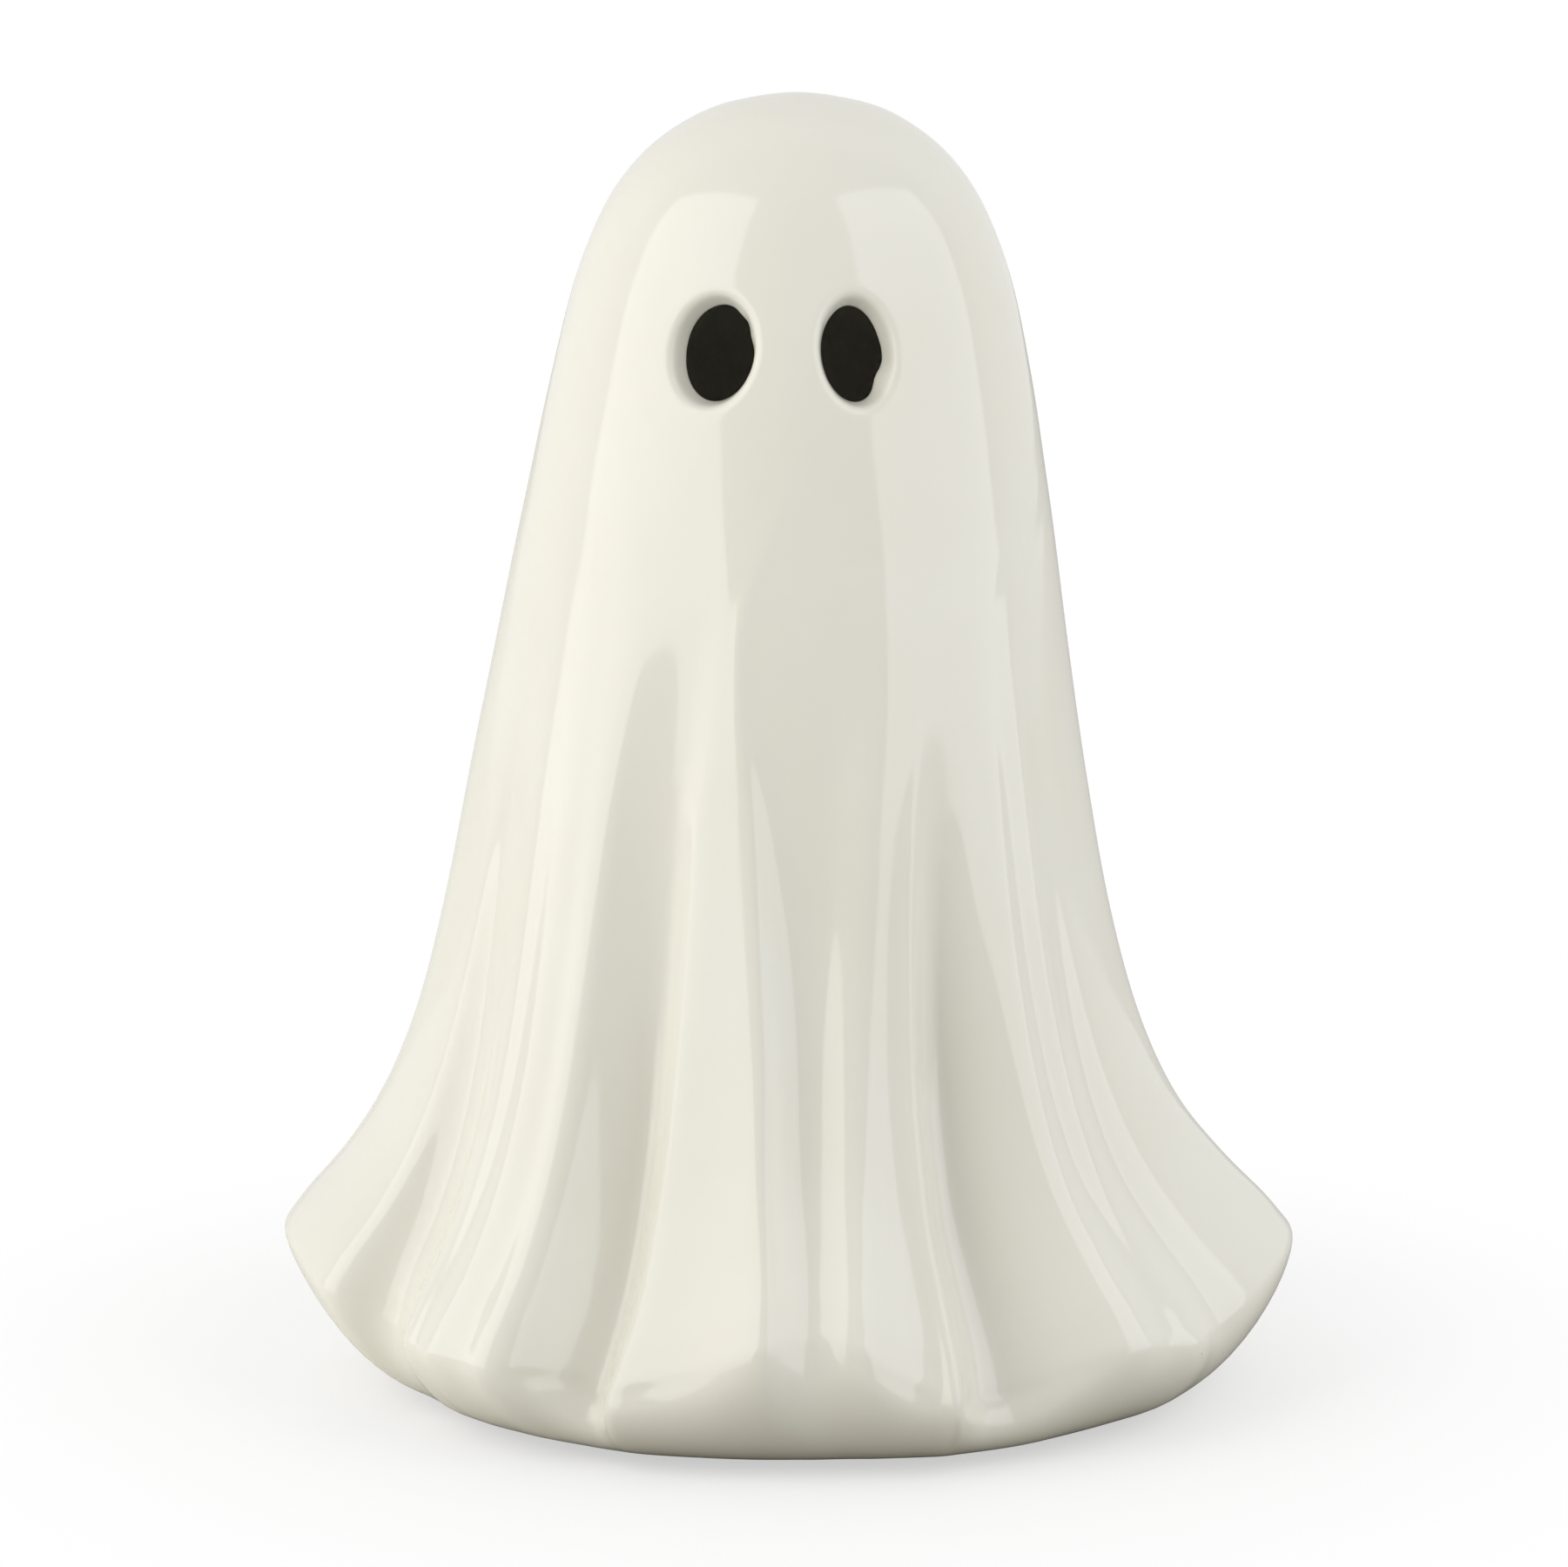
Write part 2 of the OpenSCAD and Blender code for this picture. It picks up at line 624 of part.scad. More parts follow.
// A leaf spring from under the board down to the top of the cell
module contact_negative() {
    tip_x = cell_x - strip_foot;
    touch_z = cell_top + fit_gap;
    color([0.8, 0.65, 0.35])
        translate([0, strip_w / 2, 0])
            rotate([90, 0, 0])
                linear_extrude(strip_w)
                    polygon([
                        [0, board_z],
                        [-strip_foot, board_z],
                        [cell_x + strip_t, touch_z + strip_t],
                        [cell_x - strip_t, touch_z + strip_t],
                        [tip_x, touch_z + 2 * strip_t],
                        [tip_x, touch_z + strip_t],
                        [cell_x - strip_t, touch_z],
                        [cell_x + strip_t, touch_z],
                        [-strip_foot, board_z - strip_t],
                        [0, board_z - strip_t]
                    ]);
}

// A can, and the smaller cap on top of it that is its other pole
module coin_cell() {
    rim = cell_t / 8;
    color([0.78, 0.79, 0.8])
        at_cell()
            rotate_extrude()
                polygon([
                    [0, door_top],
                    [cell_r - rim, door_top],
                    [cell_r, door_top + rim],
                    [cell_r, cell_top - 2 * rim],
                    [cell_r - 2 * rim, cell_top - rim],
                    [cell_r - 3 * rim, cell_top],
                    [0, cell_top]
                ]);
}

module battery_door() {
    color([0.86, 0.86, 0.84])
        difference() {
            at_cell()
                translate([0, 0, base_z])
                    linear_extrude(door_t)
                        door_outline(0);
            at_screw()
                translate([0, 0, base_z - overrun])
                    cylinder(r = screw_hole_r, h = door_t + 2 * overrun);
            at_screw()
                translate([0, 0, base_z - overrun])
                    cylinder(r = screw_head_r + loose_gap, h = screw_head_t + overrun);
        }
}

// A small pan-head screw with a cross recess
module door_screw() {
    recess_w = screw_head_r / 4;
    color([0.7, 0.71, 0.72])
        at_screw()
            difference() {
                union() {
                    translate([0, 0, base_z])
                        cylinder(r = screw_head_r, h = screw_head_t);
                    translate([0, 0, base_z])
                        cylinder(r = screw_r, h = screw_head_t + screw_length);
                }
                for (turn = [0, 90])
                    rotate([0, 0, turn])
                        translate([-screw_head_r / 2, -recess_w / 2, base_z - overrun])
                            cube([screw_head_r, recess_w, overrun + screw_head_t / 2]);
            }
}

ghost_shell();
foot_pads();
base_grommet();
light_housing();
light_cap();
led();
circuit_board();
switch_body();
switch_knob();
contact_positive();
contact_negative();
coin_cell();
battery_door();
door_screw();
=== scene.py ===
import json
from math import atan, atan2, cos, degrees, exp, hypot, pi, radians, sin

import bpy
import numpy as np
from mathutils import Matrix, Vector, noise

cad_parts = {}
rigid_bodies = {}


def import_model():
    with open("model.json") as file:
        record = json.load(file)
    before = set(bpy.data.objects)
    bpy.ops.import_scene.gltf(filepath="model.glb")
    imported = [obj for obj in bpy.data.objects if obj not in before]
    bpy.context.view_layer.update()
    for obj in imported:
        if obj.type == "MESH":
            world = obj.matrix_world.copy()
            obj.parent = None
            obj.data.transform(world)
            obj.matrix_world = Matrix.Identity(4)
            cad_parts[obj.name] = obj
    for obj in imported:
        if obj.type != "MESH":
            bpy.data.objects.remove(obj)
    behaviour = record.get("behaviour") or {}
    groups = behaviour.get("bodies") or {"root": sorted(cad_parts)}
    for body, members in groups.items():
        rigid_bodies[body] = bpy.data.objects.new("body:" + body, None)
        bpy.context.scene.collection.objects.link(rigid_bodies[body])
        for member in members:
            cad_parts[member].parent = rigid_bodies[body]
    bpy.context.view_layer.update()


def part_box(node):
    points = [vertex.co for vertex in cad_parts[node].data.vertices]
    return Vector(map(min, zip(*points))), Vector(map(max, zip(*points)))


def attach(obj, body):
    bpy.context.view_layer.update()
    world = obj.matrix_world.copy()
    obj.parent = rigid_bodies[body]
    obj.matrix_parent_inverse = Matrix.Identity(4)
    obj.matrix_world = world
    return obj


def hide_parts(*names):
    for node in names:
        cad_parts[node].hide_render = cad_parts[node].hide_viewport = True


bpy.ops.object.select_all(action="SELECT")
bpy.ops.object.delete()
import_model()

# The ghost: one hollow slip casting of white earthenware, glazed inside and out but for its foot.
# The mould gives the folds of its sheet. The two eyes are cut through the damp clay by hand, and
# their edges are wiped round with a sponge.
ghost_height = 0.190
hem_radius = 0.075
depth_share = 0.92
wall = 0.004
inner_fold_share = 0.6
side_hem_share = 0.114
stretch_power = 3
flare_power = 6
fold_softness = 0.6
foot_radius = 0.0545
foot_shift = 0.0014
foot_z = 0.001
under_drop_share = 0.3
under_reach_share = 0.52
under_even_share, even_radius_share = 0.5, 0.97
seam_angle, face_spread = -178.5, 17
fold_tops, head_foot = 0.56, 0.74

# Down the wall: height share, ridge radius share, valley radius share, how far the folds have
# formed, and lean share
wall_shares = np.array([
    [1.000, 0.000, 0.000, 0.00, 0.008],
    [0.991, 0.132, 0.132, 0.00, 0.008],
    [0.963, 0.256, 0.256, 0.00, 0.006],
    [0.920, 0.344, 0.344, 0.00, 0.004],
    [0.850, 0.414, 0.414, 0.00, 0.002],
    [0.760, 0.463, 0.463, 0.00, -0.002],
    [0.650, 0.510, 0.502, 0.00, -0.010],
    [0.530, 0.556, 0.529, 0.10, -0.020],
    [0.410, 0.604, 0.543, 0.60, -0.028],
    [0.300, 0.651, 0.553, 0.85, -0.030],
    [0.200, 0.710, 0.576, 1.00, -0.028],
    [0.125, 0.783, 0.615, 1.00, -0.024],
    [0.070, 0.872, 0.672, 1.00, -0.014],
    [0.025, 0.965, 0.732, 1.00, -0.007],
    [0.000, 1.000, 0.760, 1.00, -0.005]])

# Round the ghost, from behind over its left side to the front and on: each fold line's angle at
# the hem, halfway up the folds and on the body, its hem height share, and how far it sinks from
# ridge to valley on the body, halfway up and at the hem
front_folds = [
    (-83, -84, -83, 0.118, 0.03, 0.00, -0.01),
    (-75, -76.5, -75, 0.113, 0.12, 0.05, 0.02),
    (-68, -70, -68.5, 0.103, 0.19, 0.08, 0.03),
    (-64.6, -66.5, -64.5, 0.098, 0.22, 0.10, 0.06),
    (-62.8, -64, -61.5, 0.094, 0.23, 0.20, 0.42),
    (-60.2, -61.5, -59.5, 0.091, 0.23, 0.30, 0.58),
    (-56.2, -58.2, -57.5, 0.087, 0.21, 0.30, 0.55),
    (-52.6, -54, -54.5, 0.083, 0.15, 0.19, 0.31),
    (-49.8, -50.2, -50.5, 0.081, 0.10, 0.12, 0.14),
    (-47.8, -46.8, -46.6, 0.080, 0.12, 0.15, 0.17),
    (-45.2, -42.8, -42.6, 0.079, 0.07, 0.10, 0.10),
    (-40.8, -39, -38.4, 0.078, 0.13, 0.17, 0.18),
    (-37.6, -36.2, -34.6, 0.077, 0.08, 0.11, 0.12),
    (-35.2, -33.8, -31.4, 0.074, 0.13, 0.18, 0.21),
    (-33, -31.2, -27.8, 0.069, 0.44, 0.50, 0.50),
    (-30.6, -28, -24.2, 0.063, 0.72, 0.77, 0.70),
    (-28.2, -24.8, -20.8, 0.058, 0.88, 0.95, 0.80),
    (-26.3, -21.9, -17.8, 0.056, 0.91, 1.00, 0.84),
    (-24.4, -19.4, -15.4, 0.058, 0.76, 0.78, 0.66),
    (-22.6, -16.4, -13, 0.062, 0.52, 0.44, 0.40),
    (-19.5, -13.4, -12, 0.068, 0.44, 0.41, 0.46),
    (-13.5, -9.4, -11.2, 0.078, 0.38, 0.38, 0.50),
    (-7, -5, -10.4, 0.094, 0.31, 0.31, 0.34),
    (-3, -1.8, -9.4, 0.106, 0.27, 0.25, 0.26),
    (-0.4, 1, -6.6, 0.108, 0.62, 0.60, 0.45),
    (2.2, 5, 2, 0.103, 0.84, 0.76, 0.54),
    (4.6, 8.6, 13.2, 0.107, 0.78, 0.71, 0.52),
    (6.8, 11, 16.4, 0.107, 0.60, 0.55, 0.44),
    (9.2, 14, 19.2, 0.096, 0.40, 0.36, 0.36),
    (11.4, 16.6, 22, 0.085, 0.27, 0.32, 0.38),
    (15, 19.6, 25, 0.072, 0.24, 0.33, 0.41),
    (17.8, 21.8, 27.8, 0.065, 0.21, 0.28, 0.35),
    (19.4, 23.2, 29.6, 0.061, 0.17, 0.18, 0.20),
    (21, 24.8, 30.5, 0.060, 0.20, 0.33, 0.34),
    (22.9, 26.6, 31.6, 0.057, 0.20, 0.56, 0.54),
    (25.2, 28.8, 32.9, 0.054, 0.18, 0.80, 0.70),
    (28.2, 31.4, 34.2, 0.053, 0.16, 0.88, 0.72),
    (31.6, 34, 35.6, 0.056, 0.15, 0.72, 0.62),
    (35.2, 37, 37.2, 0.066, 0.16, 0.47, 0.47),
    (39.2, 40.4, 39.2, 0.078, 0.15, 0.28, 0.31),
    (44.2, 44.8, 43.6, 0.085, 0.09, 0.10, 0.11),
    (49.2, 49, 47.8, 0.079, 0.19, 0.21, 0.20),
    (54.2, 53.2, 52.6, 0.073, 0.08, 0.09, 0.09),
    (59.6, 57.6, 58, 0.076, 0.15, 0.20, 0.22),
    (64.5, 62.6, 63, 0.087, 0.05, 0.06, 0.11),
    (80, 80, 79, 0.112, -0.01, -0.01, 0.00)]
# The folds behind hang straight down and keep their depth: angle, hem height share, how far each
# sinks on the body and lower down
left_back_folds = [
    (-175, 0.076, 0.90, 0.92), (-170, 0.070, 0.60, 0.62), (-166, 0.062, 0.32, 0.30),
    (-149, 0.070, 0.32, 0.30), (-145, 0.074, 0.62, 0.62), (-140, 0.080, 0.95, 0.95),
    (-133, 0.084, 0.92, 0.90), (-123, 0.082, 0.18, 0.17), (-113, 0.092, 0.14, 0.14),
    (-104, 0.104, 0.30, 0.28), (-91, 0.118, 0.00, 0.00)]
right_back_folds = [
    (89, 0.112, 0.00, 0.00), (103, 0.100, 0.30, 0.28), (113, 0.088, 0.16, 0.14),
    (123, 0.080, 0.16, 0.17), (134, 0.074, 0.95, 0.92), (141, 0.072, 0.95, 0.95),
    (146, 0.068, 0.62, 0.62), (150, 0.062, 0.32, 0.30), (167, 0.070, 0.32, 0.31),
    (172, 0.074, 0.66, 0.64), (178, 0.078, 0.90, 0.92)]


def straight_folds(rows):
    return [(angle, angle, angle, hem, body, low, low) for angle, hem, body, low in rows]


fold_shares = np.array(straight_folds(left_back_folds) + front_folds + straight_folds(right_back_folds))
fold_count = len(fold_shares)
last_row = len(wall_shares) - 1


def mix(a, b, share):
    return a + (b - a) * share


def smooth_step(low, high, value):
    share = min(max((value - low) / (high - low), 0), 1)
    return share * share * (3 - 2 * share)


def slope_at(a, b, c):
    """The slope of a smooth curve at b, level wherever b is a peak or a dip."""
    product = (b - a) * (c - b)
    return np.where(product <= 0, 0, 2 * product / np.where(c == a, 1, c - a))


def smooth(a, b, c, d, u):
    """A smooth curve from b to c that takes its direction from the values on both sides."""
    return (b * (1 + 2 * u) * (1 - u) ** 2 + slope_at(a, b, c) * u * (1 - u) ** 2
            + c * (3 - 2 * u) * u ** 2 - slope_at(b, c, d) * (1 - u) * u ** 2)


def wall_row(t):
    """The wall's row at place t, which counts from the top of the head to the hem."""
    i = min(int(t), last_row - 1)
    before = wall_shares[i - 1] if i > 0 else wall_shares[1] * [1, -1, -1, 1, 1]
    if i + 2 <= last_row:
        after = wall_shares[i + 2]
    else:
        after = wall_shares[-2].copy()
        after[0] = 2 * wall_shares[-1][0] - wall_shares[-2][0]
    return smooth(before, wall_shares[i], wall_shares[i + 1], after, t - i)


def fold_line(t):
    """The fold line at place t, which counts once round the ghost."""
    def line_at(i):
        turns = i // fold_count
        return fold_shares[i - turns * fold_count] + np.array([360, 360, 360, 0, 0, 0, 0]) * turns
    i = int(t // 1)
    a, b, c, d = [line_at(k) for k in range(i - 1, i + 3)]
    u = t - i
    soft = (a * (1 - u) ** 3 + b * (4 - 6 * u ** 2 + 3 * u ** 3)
            + c * (1 + 3 * u + 3 * u ** 2 - 3 * u ** 3) + d * u ** 3) / 6
    return mix(smooth(a, b, c, d, u), soft, fold_softness)


def wall_radius(line, row):
    sink = mix(mix(line[4], line[5], row[3]), line[6], (1 - row[0]) ** flare_power)
    return hem_radius * mix(row[1], row[2], sink)


def wall_z(line, row):
    drop = (line[3] - side_hem_share) * (1 - row[0]) ** stretch_power
    return ghost_height * (mix(side_hem_share, 1, row[0]) + drop)


def round_point(angle, r, shift, z):
    a = radians(angle)
    return Vector((r * sin(a) + shift, -depth_share * r * cos(a), z))


def head_angle(share):
    """Evenly spread angles for the smooth head, closer together at the face."""
    return seam_angle + 360 * share + face_spread * sin(2 * pi * share)


def line_angle(line, share, row):
    """A fold line's own angle low down, and an even spread where the head is smooth."""
    low = mix(mix(line[2], line[1], row[3]), line[0], (1 - row[0]) ** flare_power)
    return mix(low, head_angle(share), smooth_step(fold_tops, head_foot, row[0]))


def bend(a, b, c, d, u):
    return a * (1 - u) ** 3 + 3 * b * u * (1 - u) ** 2 + 3 * c * (1 - u) * u ** 2 + d * u ** 3


def outer_point(share, t):
    """A point of the outside. Past the hem, t goes on from last_row to last_row + 1 at the foot."""
    line = fold_line(share * fold_count)
    row = wall_row(min(t, last_row))
    r, z, shift = wall_radius(line, row), wall_z(line, row), hem_radius * row[4]
    if t <= last_row:
        return round_point(line_angle(line, share, row), r, shift, z)
    u = t - last_row
    low = mix(r, even_radius_share * hem_radius, under_even_share)
    reach = mix(foot_radius, hem_radius, under_reach_share)
    return round_point(line[0], bend(r, low, reach, foot_radius, u), mix(shift, foot_shift, u),
                       bend(z, mix(z, foot_z, under_drop_share), foot_z, foot_z, u))


def inner_point(share, t):
    """A point of the inside, one wall in from the outside and with shallower folds."""
    line = fold_line(share * fold_count)
    line[3] = max(line[3], (floor_top + floor_turn) / ghost_height)
    line[4:] = 1 - inner_fold_share * (1 - line[4:])
    row = wall_row(min(t, last_row))
    step = 0.1
    before, after = wall_row(max(t - step, 0)), wall_row(min(t + step, last_row))
    along_r = wall_radius(line, after) - wall_radius(line, before)
    along_z = wall_z(line, after) - wall_z(line, before)
    size = hypot(along_r, along_z)
    r, z, shift = wall_radius(line, row), wall_z(line, row), hem_radius * row[4]
    if t <= last_row:
        return round_point(line_angle(line, share, row), r + wall * along_z / size, shift,
                           z - wall * along_r / size)
    u = t - last_row
    edge = min(r - wall, foot_radius - wall)
    return round_point(line[0], mix(r - wall, edge, u ** 2), mix(shift, foot_shift, u),
                       mix(z, floor_top, 1 - (1 - u) ** 2))


def deselect():
    if bpy.context.object and bpy.context.object.mode != "OBJECT":
        bpy.ops.object.mode_set(mode="OBJECT")
    bpy.ops.object.select_all(action="DESELECT")


def work_on(piece):
    deselect()
    piece.select_set(True)
    bpy.context.view_layer.objects.active = piece


def add_piece(name, operator, **options):
    """Adds a new piece with one operator and names it."""
    deselect()
    operator(**options)
    bpy.context.object.name = name
    return bpy.context.object


def modify(piece, kind, **options):
    """Gives a piece a modifier with its options, and applies it."""
    work_on(piece)
    made = piece.modifiers.new(kind.lower(), kind)
    for option, value in options.items():
        setattr(made, option, value)
    bpy.ops.object.modifier_apply(modifier=made.name)


def clear_mesh_selection(piece):
    work_on(piece)
    for group in (piece.data.vertices, piece.data.edges, piece.data.polygons):
        group.foreach_set("select", [False] * len(group))


def edit_selected(operator, kind=1, **options):
    """Runs one edit-mode operator on the selected points, edges or faces, which are kinds 0, 1 and 2."""
    bpy.context.tool_settings.mesh_select_mode = [k == kind for k in range(3)]
    bpy.ops.object.mode_set(mode="EDIT")
    operator(**options)
    bpy.ops.object.mode_set(mode="OBJECT")


def select_edges(piece, test):
    """Selects the open edges whose middle passes the test."""
    clear_mesh_selection(piece)
    mesh = piece.data
    uses = np.zeros(len(mesh.edges), int)
    for polygon in mesh.polygons:
        for loop in polygon.loop_indices:
            uses[mesh.loops[loop].edge_index] += 1
    for edge in mesh.edges:
        ends = [mesh.vertices[i] for i in edge.vertices]
        edge.select = bool(uses[edge.index] == 1 and test((ends[0].co + ends[1].co) / 2))
        if edge.select:
            for end in ends:
                end.select = True


def edit_whole(*steps):
    """Runs edit-mode operators, each given as (operator, options), on the active piece's whole mesh."""
    bpy.ops.object.mode_set(mode="EDIT")
    bpy.ops.mesh.select_all(action="SELECT")
    for operator, options in steps:
        operator(**options)
    bpy.ops.object.mode_set(mode="OBJECT")


facing_out = (bpy.ops.mesh.normals_make_consistent, {"inside": False})


def extrude_to(piece, place):
    """Extrudes the selected edges and puts every new point where place says."""
    edit_selected(bpy.ops.mesh.extrude_region_move)
    for vertex in piece.data.vertices:
        if vertex.select:
            vertex.co = place(vertex.co)


def delete_faces(piece, test):
    """Deletes the faces whose middle passes the test."""
    clear_mesh_selection(piece)
    for polygon in piece.data.polygons:
        polygon.select = test(polygon.center)
    edit_selected(bpy.ops.mesh.delete, 2, type="FACE")


def wall_tube(name, point, columns, rows):
    """A grid rolled up into the tube that point gives, from the crown's rim down."""
    tube = add_piece(name, bpy.ops.mesh.primitive_grid_add, x_subdivisions=columns,
                     y_subdivisions=len(rows) - 1, size=1)
    for vertex in tube.data.vertices:
        share = (vertex.co.x + 0.5) % 1
        vertex.co = point(share, rows[round((0.5 - vertex.co.y) * (len(rows) - 1))])
    edit_whole((bpy.ops.mesh.remove_doubles, {"threshold": 1e-6}))
    return tube


def close_crown(piece, point, rim_t, columns):
    """Fills the open crown with a grid and lays it on the dome that point gives."""
    dome_steps = 40
    rim_z = point(0, rim_t).z - 0.002
    select_edges(piece, lambda middle: middle.z > rim_z)
    edit_selected(bpy.ops.mesh.fill_grid, span=columns // 4, offset=columns // 8)
    dome = [point(0.5, rim_t * k / dome_steps) for k in range(dome_steps + 1)]
    middle_x = dome[0].x
    radii = [hypot(p.x - middle_x, p.y / depth_share) for p in dome]
    for vertex in piece.data.vertices:
        r = hypot(vertex.co.x - middle_x, vertex.co.y / depth_share)
        if vertex.co.z > rim_z and r < radii[-1] * 0.999:
            vertex.co.z = np.interp(r, radii, [p.z for p in dome])


def row_places(counts, first):
    """Places down the wall: counts gives how many rows each stretch gets, from the second on."""
    places = [first]
    for k, count in enumerate(counts, 1):
        places += [k + (j + 1) / count for j in range(count) if k + (j + 1) / count > first + 0.05]
    return places


crown_t = 1.5
outer_rows = row_places([4, 3, 5, 8, 6, 5, 4, 4, 5, 5, 5, 5, 4, 8], crown_t)
inner_rows = row_places([2, 2, 3, 5, 4, 3, 2, 2, 2, 2, 2, 2, 1, 3], crown_t)
columns = 3 * fold_count
lining_columns = 100

# The base: a flat foot ring, a shallow recess inside it, and the hole for the light
floor_z = 0.006
floor_top = 0.0105
floor_turn = 0.003
recess_radius = 0.038
hole_radius = 0.023
edge_round = 0.0007

ghost = wall_tube("ghost_casting", outer_point, columns, outer_rows)
close_crown(ghost, outer_point, crown_t, columns)
lining = wall_tube("ghost_lining", inner_point, lining_columns, inner_rows)
close_crown(lining, inner_point, crown_t, lining_columns)


def ring_place(r, z):
    """Puts a point on a ring round the axis, keeping its direction."""
    def place(co):
        a = atan2(co.y, co.x)
        return Vector((r * cos(a), r * sin(a), z))
    return place


def foot_place(inset, z):
    """Puts a point on the foot's own outline, drawn in by an inset."""
    def place(co):
        a = atan2(co.y / depth_share, co.x - foot_shift)
        r = foot_radius - inset
        return Vector((r * cos(a) + foot_shift, depth_share * r * sin(a), z))
    return place


def soft_edge(r, z, rise):
    """Three places that turn round the edge of the hole or the recess, from the flat into the bore."""
    return [(r + 2 * edge_round, z), (r + 0.3 * edge_round, z + 0.3 * rise), (r, z + 2 * rise)]


base_steps = soft_edge(recess_radius, foot_z, edge_round) + [
    (recess_radius, floor_z - edge_round), (recess_radius - edge_round, floor_z)]
base_steps += soft_edge(hole_radius, floor_z, edge_round)
lining_steps = soft_edge(hole_radius, floor_top, -edge_round)
foot_inset, lining_inset = 0.0015, wall + 0.005
for piece, level, inset, steps in ((ghost, foot_z, foot_inset, base_steps),
                                   (lining, floor_top, lining_inset, lining_steps)):
    select_edges(piece, lambda middle: middle.z < level + 0.0005)
    for place in [foot_place(inset, level)] + [ring_place(r, z) for r, z in steps]:
        extrude_to(piece, place)

# Each eye: angle round the ghost, height, half its width and height at the inside of the wall,
# lean, and the uneven places of its inner edge as (place, width, size), in degrees and metres
eyes = [
    (-20.2, 0.1568, 0.0049, 0.0067, -6.5, [(28, 14, -0.0005), (62, 16, -0.0004), (150, 30, 0.0002)]),
    (16.2, 0.1568, 0.0042, 0.0067, 4, [(-38, 20, -0.0008), (-8, 16, 0.0003), (120, 30, -0.0003)])]
# The rings of a cut, from the face in: how far each lies outside the oval, and how deep
cut_rings = [(0.0031, 0), (0.0025, 0.00002), (0.0020, 0.0001), (0.0016, 0.0003), (0.0013, 0.0006),
             (0.0010, 0.0011), (0.0007, 0.0019), (0.00035, 0.0029), (0.0001, 0.0036)]
lining_rings = [(0.0012, 0), (0.0004, -0.0001)]


def head_profile(point):
    """Height, radius and middle of the smooth head, from the bottom up."""
    heights, radii, middles = [], [], []
    samples, per_row = 100, 20
    for k in range(samples, -1, -1):
        t = crown_t + k / per_row
        spot = point(0.5, t)
        middle = hem_radius * wall_row(t)[4]
        heights.append(spot.z)
        radii.append(hypot(spot.x - middle, spot.y / depth_share))
        middles.append(middle)
    return heights, radii, middles


def drop_on(profile, start, direction):
    """The point where a line that runs in from start meets the smooth head."""
    heights, radii, middles = profile
    near, far, halvings = 0, 0.02, 25
    for halving in range(halvings):
        spot = start + direction * (near + far) / 2
        r = hypot(spot.x - np.interp(spot.z, heights, middles), spot.y / depth_share)
        if r < np.interp(spot.z, heights, radii):
            far = (near + far) / 2
        else:
            near = (near + far) / 2
    return start + direction * near


def angle_off(co, angle):
    """How far round the ghost a point lies from an angle in degrees, in radians."""
    return abs(atan2(co.x, -co.y / depth_share) - radians(angle))


def cut_eye(angle, height, half_w, half_h, lean, bumps):
    """Cuts one eye square to the head, with a wiped edge outside and an uneven one inside."""
    outside, inside = head_profile(outer_point), head_profile(inner_point)
    r, r_above = [np.interp(height + rise, outside[0], outside[1]) for rise in (-half_h, half_h)]
    tilt = atan((r - r_above) / (2 * half_h))
    out = Vector((sin(radians(angle)) * cos(tilt), -cos(radians(angle)) * cos(tilt), sin(tilt)))
    turn = Matrix.Rotation(radians(lean), 3, out)
    side = turn @ Vector((cos(radians(angle)), sin(radians(angle)), 0))
    up = out.cross(side)
    middle = round_point(angle, (r + r_above) / 2, np.interp(height, outside[0], outside[2]), height)

    def oval(grow, depth, surface):
        """A rule that puts a point on an oval round the eye, at a depth under a surface."""
        def place(co):
            away = co - middle
            a = atan2(away.dot(up) / half_h, away.dot(side) / half_w)
            uneven = 0
            for bump_at, width, size in bumps:
                off = (degrees(a) - bump_at + 180) % 360 - 180
                uneven += size * exp(-(off / width) ** 2) * smooth_step(0, wall, depth)
            grown = grow + uneven
            spot = middle + side * (half_w + grown) * cos(a) + up * (half_h + grown) * sin(a)
            return drop_on(surface, spot + out * 0.01, -out) - out * depth
        return place

    def near_eye(rise, turned_off):
        return lambda co: co.y < 0 and abs(co.z - height) < rise and angle_off(co, angle) < turned_off

    block_w, block_h = radians(16), 0.0125
    for piece, surface, rings in ((ghost, outside, cut_rings), (lining, inside, lining_rings)):
        delete_faces(piece, near_eye(block_h, block_w))
        select_edges(piece, near_eye(block_h + 0.003, block_w + 0.03))
        for grow, depth in rings:
            extrude_to(piece, oval(grow, depth, surface))


for eye in eyes:
    cut_eye(*eye)

# Inside and outside are one skin, joined through the hole in the base and through both eyes
head_low, eye_reach, hole_high = 0.1, 0.25, 0.02
work_on(ghost)
lining.select_set(True)
bpy.ops.object.join()
for eye in eyes:
    select_edges(ghost, lambda co: co.z > head_low and angle_off(co, eye[0]) < eye_reach)
    edit_selected(bpy.ops.mesh.bridge_edge_loops)
select_edges(ghost, lambda co: co.z < hole_high)
edit_selected(bpy.ops.mesh.bridge_edge_loops)
edit_whole(facing_out)
bpy.ops.object.shade_smooth()
modify(ghost, "SUBSURF", levels=1, render_levels=1)


def link(finish, output, target, name):
    finish.node_tree.links.new(output, target.inputs[name])


def shader_of(finish):
    return finish.node_tree.nodes["Principled BSDF"]


def add_node(finish, kind, inputs=None, **options):
    """Adds one node to a finish. An input is given as a plain value or as another node's output."""
    made = finish.node_tree.nodes.new("ShaderNode" + kind)
    for option, value in options.items():
        setattr(made, option, value)
    for name, value in (inputs or {}).items():
        if isinstance(value, bpy.types.NodeSocket):
            link(finish, value, made, name)
        else:
            made.inputs[name].default_value = value
    return made


